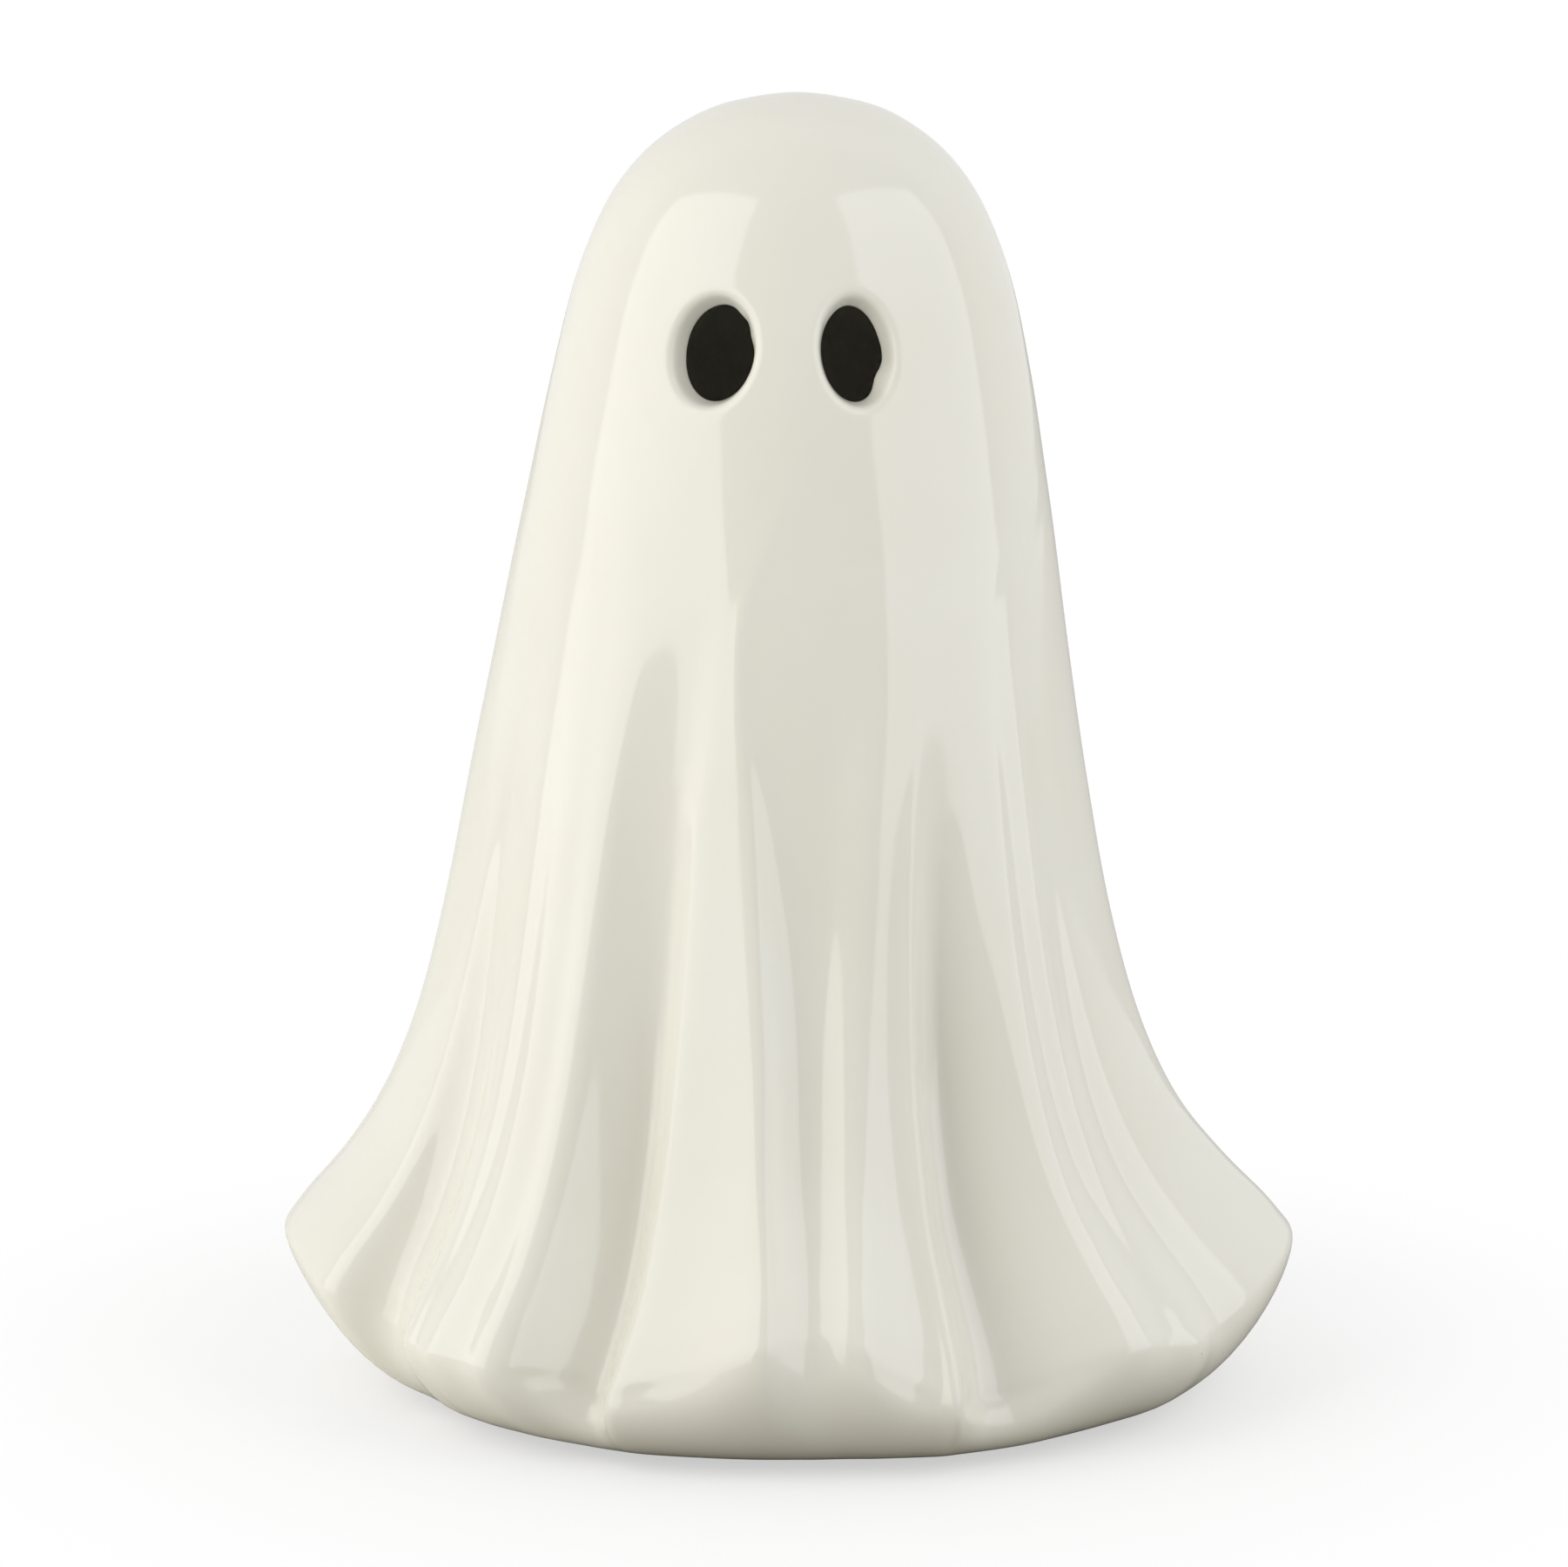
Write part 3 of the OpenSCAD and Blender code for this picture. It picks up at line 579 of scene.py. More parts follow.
def new_finish(name, colour, roughness, values=None):
    """A new material with its plain values set, and the output that gives the place on the piece."""
    finish = bpy.data.materials.new(name)
    finish.use_nodes = True
    for socket, value in {"Base Color": (*colour, 1), "Roughness": roughness, **(values or {})}.items():
        shader_of(finish).inputs[socket].default_value = value
    return finish, add_node(finish, "TexCoord").outputs["Object"]


def clouds(finish, where, scale, detail, distortion=0.0):
    """The output of a noise at a scale and with so many finer layers."""
    return add_node(finish, "TexNoise", {"Vector": where, "Scale": scale, "Detail": detail,
                                         "Distortion": distortion}).outputs["Fac"]


def ramp(finish, share, low, high, low_value=0.0, high_value=1.0, **options):
    """The output that goes from one value to the other as share goes from low to high."""
    return add_node(finish, "MapRange", {"Value": share, "From Min": low, "From Max": high,
                                         "To Min": low_value, "To Max": high_value}, **options).outputs[0]


def calc(finish, operation, *values):
    """The output of one sum on plain values and outputs."""
    return add_node(finish, "Math", dict(enumerate(values)), operation=operation).outputs[0]


def along(finish, where, axis):
    return add_node(finish, "SeparateXYZ", {"Vector": where}).outputs[axis]


def two_tones(finish, share, low_tone, high_tone, low=0, high=1):
    """The output that goes from one tone to the other as share goes from low to high."""
    blend = add_node(finish, "Mix", {0: ramp(finish, share, low, high)}, data_type="RGBA")
    for socket, tone in ((6, low_tone), (7, high_tone)):
        if isinstance(tone, bpy.types.NodeSocket):
            link(finish, tone, blend, socket)
        else:
            blend.inputs[socket].default_value = (*tone, 1)
    return blend.outputs[2]


def vary_colour(finish, *tones_and_span):
    link(finish, two_tones(finish, *tones_and_span), shader_of(finish), "Base Color")


def vary_gloss(finish, share, low_value, high_value):
    link(finish, ramp(finish, share, 0, 1, low_value, high_value), shader_of(finish), "Roughness")


def roughen(finish, height, strength, depth):
    """Gives a finish a fine relief from a height output."""
    bump = add_node(finish, "Bump", {"Height": height, "Strength": strength, "Distance": depth})
    link(finish, bump.outputs["Normal"], shader_of(finish), "Normal")


def cloudy_finish(name, colour, roughness, cloud, tones=None, gloss=None, relief=None, values=None):
    """A finish whose tone and gloss follow one noise, with a fine relief from another. Cloud is the
    noise's scale, detail and distortion. Relief is scale, detail, strength and depth."""
    finish, where = new_finish(name, colour, roughness, values)
    share = clouds(finish, where, *cloud)
    if tones:
        vary_colour(finish, share, *tones)
    if gloss:
        vary_gloss(finish, share, *gloss)
    if relief:
        roughen(finish, clouds(finish, where, *relief[:2]), *relief[2:])
    return finish


def shade_of(colour, share):
    return tuple(share * part for part in colour)


def dress(piece, material, body, replaced):
    if material:
        piece.data.materials.clear()
        piece.data.materials.append(material)
    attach(piece, body)
    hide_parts(replaced)


# The glaze pools a little, so its tone wanders. It has a few pinholes and a slightly wavy skin.
# The flat foot was wiped clean before the firing, and shows the matt white clay.
glaze_tone, pooled_tone = (0.805, 0.79, 0.71), (0.79, 0.772, 0.685)
clay_tone, pinhole_tone = (0.72, 0.69, 0.62), (0.33, 0.30, 0.25)
wiped_low, wiped_high = foot_z + 0.0002, foot_z + 0.0008
clay_roughness = 0.8
glaze, where = new_finish("white_glaze", glaze_tone, 0.08, {"IOR": 1.5})
pooling = clouds(glaze, where, 28, 3, 0.6)
tone = two_tones(glaze, pooling, pooled_tone, glaze_tone, 0.35, 0.65)
cells = add_node(glaze, "TexVoronoi", {"Vector": where, "Scale": 85, "Randomness": 1.0})
rare = add_node(glaze, "SeparateColor", {"Color": cells.outputs["Color"]}).outputs[0]
pinhole = calc(glaze, "MULTIPLY", ramp(glaze, cells.outputs["Distance"], 0.010, 0.017, 1, 0),
               calc(glaze, "GREATER_THAN", rare, 0.90))
tone = two_tones(glaze, pinhole, tone, pinhole_tone)
bare = ramp(glaze, along(glaze, where, "Z"), wiped_low, wiped_high, 1, 0)
clay = two_tones(glaze, clouds(glaze, where, 1500, 3), shade_of(clay_tone, 0.88), clay_tone, 0.3, 0.6)
vary_colour(glaze, bare, tone, clay)
matt = add_node(glaze, "Mix", {0: bare, 2: ramp(glaze, pooling, 0, 1, 0.06, 0.12), 3: clay_roughness})
link(glaze, matt.outputs[0], shader_of(glaze), "Roughness")
roughen(glaze, calc(glaze, "SUBTRACT", clouds(glaze, where, 110, 2), pinhole), 0.25, 0.00008)
dress(ghost, glaze, "ghost", "ghost_shell")

# The felt pads: four die-cut discs of pressed felt, stuck to the bare foot ring so that the glazed
# figure doesn't scratch the table. Their cut edges are a little ragged and pressed thin.
mm = 0.001
pad_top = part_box("foot_pads")[1][2]
pad_ring = (recess_radius + foot_radius * depth_share) / 2
pad_rings = [(2.4, 0), (3.0, 0.01), (3.32, 0.08), (3.46, 0.3), (3.48, 0.6), (3.44, 0.92), (3.3, 1.0)]


def turned(name, outline, segments=96, middle=(0, 0)):
    """A solid of revolution: a circle that is extruded from place to place of its outline, given
    in millimetres. An outline that comes back to its start is welded, any other gets flat ends."""
    first_r, first_z = outline[0]
    piece = add_piece(name, bpy.ops.mesh.primitive_circle_add, vertices=segments, radius=first_r * mm,
                      location=(0, 0, first_z * mm))
    bpy.ops.object.transform_apply(location=True, rotation=True, scale=True)
    for r, z in outline[1:]:
        extrude_to(piece, ring_place(r * mm, z * mm))
    ends = [(bpy.ops.mesh.fill_holes, {"sides": 0})] if outline[0] != outline[-1] else []
    edit_whole((bpy.ops.mesh.remove_doubles, {"threshold": 1e-7}), *ends, facing_out,
               (bpy.ops.transform.translate, {"value": (middle[0] * mm, middle[1] * mm, 0)}))
    return piece


def join_all(pieces, name):
    """Joins the pieces into the first and names it."""
    deselect()
    for piece in pieces:
        piece.select_set(True)
    bpy.context.view_layer.objects.active = pieces[0]
    bpy.ops.object.join()
    pieces[0].name = name
    return pieces[0]


fine_size, coarse_size = 0.03, 0.05
noise.seed_set(1)
discs = []
for k in range(4):
    a = pi / 2 * (k + 0.5)
    disc = turned("felt_disc", pad_rings, 56, (pad_ring / mm * cos(a), pad_ring / mm * sin(a)))
    edit_whole((bpy.ops.mesh.poke, {}), (bpy.ops.mesh.subdivide, {"number_cuts": 1}))
    for vertex in disc.data.vertices:
        fine, coarse = noise.noise_vector(vertex.co * 2600), noise.noise_vector(vertex.co * 900)
        vertex.co += (fine * fine_size + coarse * coarse_size) * mm
        vertex.co.z = min(max(vertex.co.z, 0), pad_top)
    bpy.ops.object.shade_smooth()
    discs.append(disc)
pads = join_all(discs, "felt_pads")
felt, where = new_finish("pressed_felt", (0.50, 0.49, 0.46), 0.95, {"Sheen Weight": 0.4})
fibre = clouds(felt, where, 2400, 6, 2.5)
tone = two_tones(felt, fibre, (0.36, 0.35, 0.33), (0.62, 0.61, 0.575), 0.3, 0.7)
vary_colour(felt, clouds(felt, where, 500, 3), (0.46, 0.45, 0.43), tone, 0.2, 0.6)
roughen(felt, fibre, 0.6, 0.0002)
dress(pads, felt, "ghost", "foot_pads")

# The grommet: a soft black rubber sleeve that snaps into the hole in the floor. It grips the light
# and keeps it off the ceramic. Two shallow grooves run round under its lower lip.
sleeve_out, sleeve_in, lip_out, lip_top = 22.95, 21.25, 25.5, floor_z / mm
upper_out, upper_low = 24.2, floor_top / mm
groove, groove_places = 0.22, (22.3, 23.9)
corner_share, end_share = 0.5, 0.45


def solid_box(part):
    """The low and the high corner of a solid's box, in millimetres."""
    return [[size / mm for size in corner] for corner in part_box(part)]


def rounded(outline, size):
    """The outline with each of its corners turned into a small three-point round."""
    closed = outline[0] == outline[-1]
    points = outline[:-1] if closed else outline
    result = []
    for k, (r, z) in enumerate(points):
        if not closed and k in (0, len(points) - 1):
            result.append((r, z))
            continue
        ends = []
        for r2, z2 in (points[k - 1], points[(k + 1) % len(points)]):
            share = min(size / hypot(r2 - r, z2 - z), end_share)
            ends.append((mix(r, r2, share), mix(z, z2, share)))
        middle = tuple(corner_share * corner + (1 - corner_share) / 2 * (one + two)
                       for corner, one, two in zip((r, z), *ends))
        result += [ends[0], middle, ends[1]]
    return result + result[:1] if closed else result


def smooth_faces(piece, angle=42):
    """Smooth shading inside each face of a moulded piece, and crisp lines between its faces."""
    work_on(piece)
    bpy.ops.object.shade_smooth_by_angle(angle=radians(angle))
    modify(piece, "WEIGHTED_NORMAL", keep_sharp=True)


lip_low, sleeve_top = [corner[2] for corner in solid_box("base_grommet")]
grommet_outline = [(sleeve_in, lip_low)]
for start in groove_places:
    grommet_outline += [(start, lip_low), (start + groove, lip_low + groove),
                        (start + 3 * groove, lip_low + groove), (start + 4 * groove, lip_low)]
grommet_outline += [
    (lip_out, lip_low), (lip_out, lip_top), (sleeve_out, lip_top), (sleeve_out, upper_low),
    (upper_out, upper_low), (sleeve_out, sleeve_top), (sleeve_in, sleeve_top), (sleeve_in, lip_low)]
grommet = turned("rubber_grommet", rounded(grommet_outline, 0.14), 144)
smooth_faces(grommet)
rubber_tones = (0.014, 0.014, 0.016), (0.035, 0.035, 0.036), 0.35, 0.7
rubber = cloudy_finish("black_rubber", (0.02, 0.02, 0.022), 0.62, (160, 4), rubber_tones, (0.5, 0.75),
                       (3000, 2, 0.25, 0.00005))
dress(grommet, rubber, "ghost", "base_grommet")

# The light's housing: one injection moulding in satin off-white plastic. Its flange has a ribbed
# edge for the fingertips. A cup carries the circuit board on a ledge, and a pocket holds the cell.
# The bottom has a seat for the battery door, the switch's slot and a moulded mark at each end of it.
housing_low, housing_high = solid_box("light_housing")
base_z, rim_z, flange_out = housing_low[2], housing_high[2], housing_high[0]
plate_top = lip_low
cup_out, cup_bore, ledge_in = 21.2, 19.6, 18.3
board_z, board_top = [corner[2] for corner in solid_box("circuit_board")]
door_top = solid_box("battery_door")[1][2]
cell_x, cell_r, pocket_r = -7, 10, 10.3
pocket_out = pocket_r + 1.4
screw_y, screw_hole, boss_r, boss_top = 12.8, 0.9, 2.0, 8.0
under_cell, under_lug = (cell_x, 0), (cell_x, screw_y)
door_r, lug_r = 11.6, 3.2
seat_gap = 0.15
switch_x = 11.5
flange_round = 0.225
rib_count, rib_depth = 72, 0.28
below, above = base_z - 1, plate_top + 1


def block(name, low, high):
    """A box from its low corner to its high corner, in millimetres."""
    piece = add_piece(name, bpy.ops.mesh.primitive_cube_add, size=1,
                      location=[(a + b) / 2 * mm for a, b in zip(low, high)],
                      scale=[(b - a) * mm for a, b in zip(low, high)])
    bpy.ops.object.transform_apply(location=True, rotation=True, scale=True)
    return piece


def carve(piece, *tools, operation="DIFFERENCE"):
    """Cuts the tools out of the piece, or adds them, one by one, and takes each away."""
    for tool in tools:
        modify(piece, "BOOLEAN", operation=operation, solver="EXACT", object=tool)
        bpy.data.objects.remove(tool)


def soften(piece, width, steps=2, angle=30):
    """Rounds the sharp edges of a moulded or stamped piece."""
    modify(piece, "BEVEL", width=width * mm, segments=steps, limit_method="ANGLE",
           angle_limit=radians(angle), use_clamp_overlap=False)


def seat_disc(r, segments, middle, flare=0.2):
    """A round cutter for the door's seat, a little wider than the door and flared at the bottom."""
    r += seat_gap
    return turned("seat_disc", [(r + flare, below), (r + flare, base_z - 0.01), (r, base_z + flare),
                                (r, door_top)], segments, middle)


def slot_block(name, half_x, half_y, top):
    """A cutter that goes up from below the base, round the switch."""
    return block(name, (switch_x - half_x, -half_y, below), (switch_x + half_x, half_y, top))


housing = turned("light_housing_moulding", rounded([
    (20, base_z), (22.6, base_z), (22.8, base_z + 0.2), (23.2, base_z + 0.2), (23.4, base_z),
    (flange_out, base_z), (flange_out, plate_top), (cup_out, plate_top), (cup_out, rim_z),
    (cup_bore, rim_z), (cup_bore, board_z), (ledge_in, board_z), (ledge_in, plate_top)],
    flange_round), 2 * rib_count)
for vertex in housing.data.vertices:
    r = hypot(vertex.co.x, vertex.co.y)
    if r > (flange_out - 0.1) * mm and vertex.co.z < plate_top * mm:
        column = round(atan2(vertex.co.y, vertex.co.x) / (pi / rib_count))
        if column % 2:
            vertex.co = ring_place(r - rib_depth * mm, vertex.co.z)(vertex.co)
pocket_tube = turned("pocket_tube", [(pocket_out, base_z + 0.3), (pocket_out, board_z - 0.35),
                                     (pocket_out - 0.2, board_z - seat_gap)], 128, under_cell)
screw_boss = turned("screw_boss", [(boss_r, base_z + 0.3), (boss_r, boss_top - 0.15),
                                   (boss_r - 0.15, boss_top)], 48, under_lug)
carve(housing, pocket_tube, screw_boss, operation="UNION")
pocket_bore = turned("pocket_bore", [(pocket_r, below), (pocket_r, board_z - 0.4),
                                     (pocket_r + 0.35, board_z)], 128, under_cell)
neck_half = lug_r + seat_gap
seat_neck = block("seat_neck", (cell_x - neck_half, 0, below), (cell_x + neck_half, screw_y, door_top))
screw_bore = turned("screw_bore", [(screw_hole, below), (screw_hole, boss_top + 1)], 32, under_lug)
mark_top = base_z + 0.18
on_mark = block("on_mark", (switch_x - 0.15, 3.0, below), (switch_x + 0.15, 4.6, mark_top))
off_mark = turned("off_mark", [(0.55, below), (0.8, below), (0.8, mark_top), (0.55, mark_top), (0.55, below)],
                  40, (switch_x, -3.8))
carve(housing, pocket_bore, seat_disc(door_r, 128, under_cell), seat_disc(lug_r, 64, under_lug), seat_neck,
      screw_bore, block("strip_notch", (2.7, -2.15, 4.8), (5.7, 2.15, board_z)),
      slot_block("switch_slot", 0.95, 2.05, above), slot_block("slot_edge", 1.15, 2.25, base_z + 0.15),
      on_mark, off_mark)
smooth_faces(housing)


def moulded_plastic(name, colour, roughness):
    """Satin moulded plastic: a fine spark-eroded grain, slight flow marks and a trace of handling."""
    tones = shade_of(colour, 0.93), colour, 0.25, 0.6
    gloss = roughness - 0.07, roughness + 0.09
    return cloudy_finish(name, colour, roughness, (70, 3, 1.2), tones, gloss, (4200, 2, 0.18, 0.00004))


housing_plastic = moulded_plastic("satin_housing_plastic", (0.72, 0.72, 0.69), 0.42)
dress(housing, housing_plastic, "light_unit", "light_housing")

# The light cap: a frosted translucent dome that spreads the light. Its skirt presses into the cup
# and its shoulder rests on the cup's rim.
cap_skirt, cap_wall, dome_r, dome_z = 19.55, 1.4, 14, 29.8
cap_steps, cap_tip = 18, 0.3


def dome(r, z, steps, tip):
    """A quarter circle of places from the side of a dome up to its small flat tip."""
    turns = [pi / 2 * k / steps for k in range(steps)]
    return [(r * cos(a), z + r * sin(a)) for a in turns] + [(tip, z + r)]


cap_inner, skirt_inner = dome_r - cap_wall, cap_skirt - cap_wall
cap_foot = [(cap_skirt, board_top), (cap_skirt, rim_z), (cup_out, rim_z), (cup_out, rim_z + cap_wall)]
cap = turned("frosted_cap", rounded(cap_foot, 0.25) + dome(dome_r, dome_z, cap_steps, cap_tip))
hollow_foot = [(skirt_inner, board_top - 1), (skirt_inner, rim_z), (cap_inner, rim_z)]
carve(cap, turned("cap_hollow", hollow_foot + dome(cap_inner, dome_z, cap_steps, cap_tip)))
smooth_faces(cap)
frosted_tones = (0.84, 0.82, 0.74), (0.93, 0.91, 0.83), 0.3, 0.7
frosted = cloudy_finish("frosted_plastic", (0.90, 0.88, 0.80), 0.5, (90, 3), frosted_tones, (0.42, 0.6),
                        (1800, 4, 0.3, 0.00006), {"Transmission Weight": 0.45, "IOR": 1.49})
dress(cap, frosted, "light_unit", "light_cap")

# The diode: a warm white light-emitting diode in a clear cast lens, with a flat on one side of its
# rim. Inside the lens its two steel posts show, one with the little cup that holds the chip.
led_r, led_rim, led_top = 2.5, 2.8125, solid_box("led")[1][2]
rim_top, led_shoulder = board_top + 1.25, led_top - led_r
lens_foot = [(2.2, board_top), (led_rim, board_top), (led_rim, rim_top), (led_r, rim_top),
             (led_r, led_shoulder - 0.5)]
lens = turned("led_lens", rounded(lens_foot, 0.12) + dome(led_r, led_shoulder, 10, 0.15), 64)
carve(lens, block("rim_flat", (led_r + 0.02, -3, board_top - 1), (4, 3, rim_top + 0.5)))
smooth_faces(lens)
clear_tones = (0.94, 0.92, 0.80), (0.99, 0.97, 0.90), 0.3, 0.7
clear = cloudy_finish("clear_epoxy", (0.97, 0.95, 0.86), 0.06, (500, 2), clear_tones, (0.04, 0.12),
                      values={"Transmission Weight": 0.92, "IOR": 1.54})
lens.data.materials.append(clear)
leg_x, post_half = 1.25, 0.25
post_low, cup_z = rim_top - 0.1, led_shoulder - 0.7
posts = [turned("led_leg", [(0.24, board_z), (0.3, board_z + 0.06), (0.3, rim_top)], 20, (side * leg_x, 0))
         for side in (-1, 1)]
posts += [block("post", (-1.5, -post_half, post_low), (-1.0, post_half, led_shoulder - 1.4)),
          turned("chip_cup", [(0.35, led_shoulder - 1.5), (0.75, cup_z), (0.62, cup_z),
                              (0.3, led_shoulder - 1.1)], 32, (-0.9, 0)),
          block("post", (1.0, -post_half, post_low), (1.5, post_half, led_shoulder - 1.1)),
          block("post_head", (0.35, -post_half, led_shoulder - 1.3), (1.5, post_half, led_shoulder - 0.8))]
frame_metal = join_all(posts, "led_frame")
soften(frame_metal, 0.04)
smooth_faces(frame_metal)


def plain_metal(name, colour, roughness, brushing):
    """Rolled or plated metal: fine drawn lines along one direction, and duller patches."""
    metal, where = new_finish(name, colour, roughness, {"Metallic": 1.0})
    drawn = add_node(metal, "Mapping", {"Vector": where, "Scale": brushing}).outputs["Vector"]
    lines = clouds(metal, drawn, 1, 4)
    vary_colour(metal, clouds(metal, where, 260, 3), shade_of(colour, 0.8), colour, 0.25, 0.6)
    vary_gloss(metal, lines, roughness - 0.08, roughness + 0.1)
    roughen(metal, lines, 0.15, 0.00003)
    return metal


tinned_steel = plain_metal("tinned_steel", (0.62, 0.62, 0.60), 0.3, (3000, 3000, 400))
frame_metal.data.materials.append(tinned_steel)
lens = join_all([lens, frame_metal], "led_lens")
dress(lens, None, "light_unit", "led")

# The circuit board: a green disc with copper tracks under the lacquer, tinned pads, solder drops and
# one small resistor. It rests on the ledge in the cup.
board_r, middle_r = 19.45, 18
leg_hole, track_t = 0.3625, 0.05
board = turned("board_disc", rounded([(middle_r, board_z), (board_r, board_z), (board_r, board_top),
                                      (middle_r, board_top)], 0.08), 128)
for x in (-leg_x, leg_x):
    carve(board, turned("leg_hole", [(leg_hole, board_z - 1), (leg_hole, board_top + 1)], 24, (x, 0)))
lacquer_tones = (0.015, 0.10, 0.04), (0.03, 0.17, 0.075), 0.3, 0.7
lacquer = cloudy_finish("green_lacquer", (0.02, 0.13, 0.055), 0.3, (220, 3), lacquer_tones, (0.22, 0.42),
                        (1400, 2, 0.2, 0.00003))
board.data.materials.append(lacquer)
# Each track: its low x and y, then its high x and y
track_places = [(1.25, -0.35, 6.4, 0.35), (5.7, 0.35, 6.4, 4.4), (5.7, 6.2, 6.4, 9.5), (6.4, 8.8, 11.8, 9.5),
                (11.1, 4.4, 11.8, 8.8), (-6.2, -0.35, -1.25, 0.35), (-6.2, -8.4, -5.5, -0.35),
                (-5.5, -8.4, 3.4, -7.7)]
tracks = join_all([block("track", (x_low, y_low, board_top), (x_high, y_high, board_top + track_t))
                   for x_low, y_low, x_high, y_high in track_places], "board_tracks")
soften(tracks, 0.02)
raised_tones = (0.03, 0.18, 0.07), (0.05, 0.25, 0.1), 0.3, 0.7
raised = cloudy_finish("lacquered_copper", (0.035, 0.21, 0.085), 0.26, (300, 3), raised_tones)
tracks.data.materials.append(raised)
drop = [(0.95, board_top), (0.8, board_top + 0.12), (0.45, board_top + 0.4), (0.2, board_top + 0.5)]
drop_places = [(11.45, 3.0), (11.45, 0), (11.45, -3.0), (3.6, 1.2), (-0.6, 3.4)]
dots = join_all([turned("solder", drop, 28, place) for place in drop_places], "solder_dots")
smooth_faces(dots, 60)
solder, where = new_finish("solder", (0.66, 0.66, 0.67), 0.28, {"Metallic": 1.0})
frosting = clouds(solder, where, 1500, 3)
vary_gloss(solder, frosting, 0.18, 0.45)
roughen(solder, frosting, 0.2, 0.00003)
dots.data.materials.append(solder)
resistor_y = 5.3
resistor = block("resistor", (5.45, resistor_y - 1, board_top + track_t),
                 (6.65, resistor_y + 1, board_top + 0.55))
soften(resistor, 0.06)
body_black, where = new_finish("resistor_body", (0.03, 0.03, 0.032), 0.4)
off_y = calc(body_black, "SUBTRACT", along(body_black, where, "Y"), resistor_y * mm)
tinned = ramp(body_black, calc(body_black, "ABSOLUTE", off_y), 0.00068, 0.00072)
grain = clouds(body_black, where, 2500, 2)
coat = two_tones(body_black, grain, (0.02, 0.02, 0.022), (0.045, 0.045, 0.047), 0.3, 0.7)
vary_colour(body_black, tinned, coat, (0.62, 0.62, 0.61))
link(body_black, tinned, shader_of(body_black), "Metallic")
resistor.data.materials.append(body_black)
board = join_all([board, tracks, dots, resistor], "circuit_board_disc")
smooth_faces(board)
dress(board, None, "light_unit", "circuit_board")

# The slide switch: a black moulded body soldered under the board, with a slot for its knob. The
# knob is a pale slider whose ribbed end stands out of the housing's bottom.
switch_low, switch_high = solid_box("switch_body")
knob_low, knob_high = solid_box("switch_knob")
step_y, step_half, step_depth = 3.3, 0.12, 0.12
switch = block("slide_switch", switch_low, switch_high)
soften(switch, 0.16, 3)
carve(switch, block("knob_slot", (switch_x - 0.85, -1.95, switch_low[2] - 1), (switch_x + 0.85, 1.95, 7.3)))
for y in (-step_y, step_y):
    carve(switch, block("body_step", (switch_x - 3, y - step_half, switch_low[2] - 1),
                        (switch_x + 3, y + step_half, switch_low[2] + step_depth)))
smooth_faces(switch)
black_plastic = moulded_plastic("black_switch_plastic", (0.030, 0.030, 0.033), 0.38)
dress(switch, black_plastic, "light_unit", "switch_body")
knob = block("switch_slider", knob_low, knob_high)
soften(knob, 0.14, 3)
rib_pitch, rib_half, rib_cut = 0.36, 0.08, 0.14
for k in range(4):
    y = knob_low[1] + rib_pitch * (k + 1)
    carve(knob, block("knob_groove", (knob_low[0] - 0.2, y - rib_half, knob_low[2] - 0.2),
                      (knob_high[0] + 0.2, y + rib_half, knob_low[2] + rib_cut)))
smooth_faces(knob)
pale_plastic = moulded_plastic("pale_knob_plastic", (0.66, 0.66, 0.63), 0.36)
dress(knob, pale_plastic, "knob", "switch_knob")

# The contacts: two stamped and bent brass strips. One runs down the side of the cell. The other is a
# split leaf spring from under the board to the top of the cell.
strip_w, strip_t = 4.0, 0.3


def bent_strip(name, path, steps):
    """A brass strip: a flat grid laid along a path of (x, z) places, then given its thickness."""
    strip = add_piece(name, bpy.ops.mesh.primitive_grid_add, x_subdivisions=steps, y_subdivisions=6, size=1)
    lengths = [0]
    for one, two in zip(path, path[1:]):
        lengths.append(lengths[-1] + hypot(two[0] - one[0], two[1] - one[1]))
    for vertex in strip.data.vertices:
        so_far = (vertex.co.x + 0.5) * lengths[-1]
        x, z = [np.interp(so_far, lengths, [place[k] for place in path]) * mm for k in (0, 1)]
        vertex.co = Vector((x, vertex.co.y * strip_w * mm, z))
    modify(strip, "SOLIDIFY", thickness=strip_t * mm, offset=0, use_even_offset=True)
    edit_whole(facing_out)
    return strip


half_t = strip_t / 2
side_x, under_board = 3.05 + half_t, board_z - half_t
side_strip = bent_strip("cell_side_strip", [(side_x, 5.1), (side_x, 8.45), (side_x + 0.06, 8.7),
                                            (side_x + 0.2, under_board), (4.25, under_board)], 40)
carve(side_strip, block("stamped_slot", (2.5, -0.5, 5.9), (4, 0.5, 8.0)))
soften(side_strip, 0.05)
smooth_faces(side_strip)
brass = plain_metal("stamped_brass", (0.70, 0.50, 0.22), 0.3, (500, 4000, 500))
dress(side_strip, brass, "light_unit", "contact_positive")
spring = bent_strip("cell_leaf_spring", [(0, under_board), (-0.9, under_board), (-6.6, 7.62), (-6.85, 7.6),
                                         (-7.15, 7.6), (-7.4, 7.64), (-7.9, 7.9)], 60)
carve(spring, block("spring_split", (-9, -0.3, 7), (-2.6, 0.3, 9.5)))
soften(spring, 0.05)
smooth_faces(spring)
dress(spring, brass, "light_unit", "contact_negative")

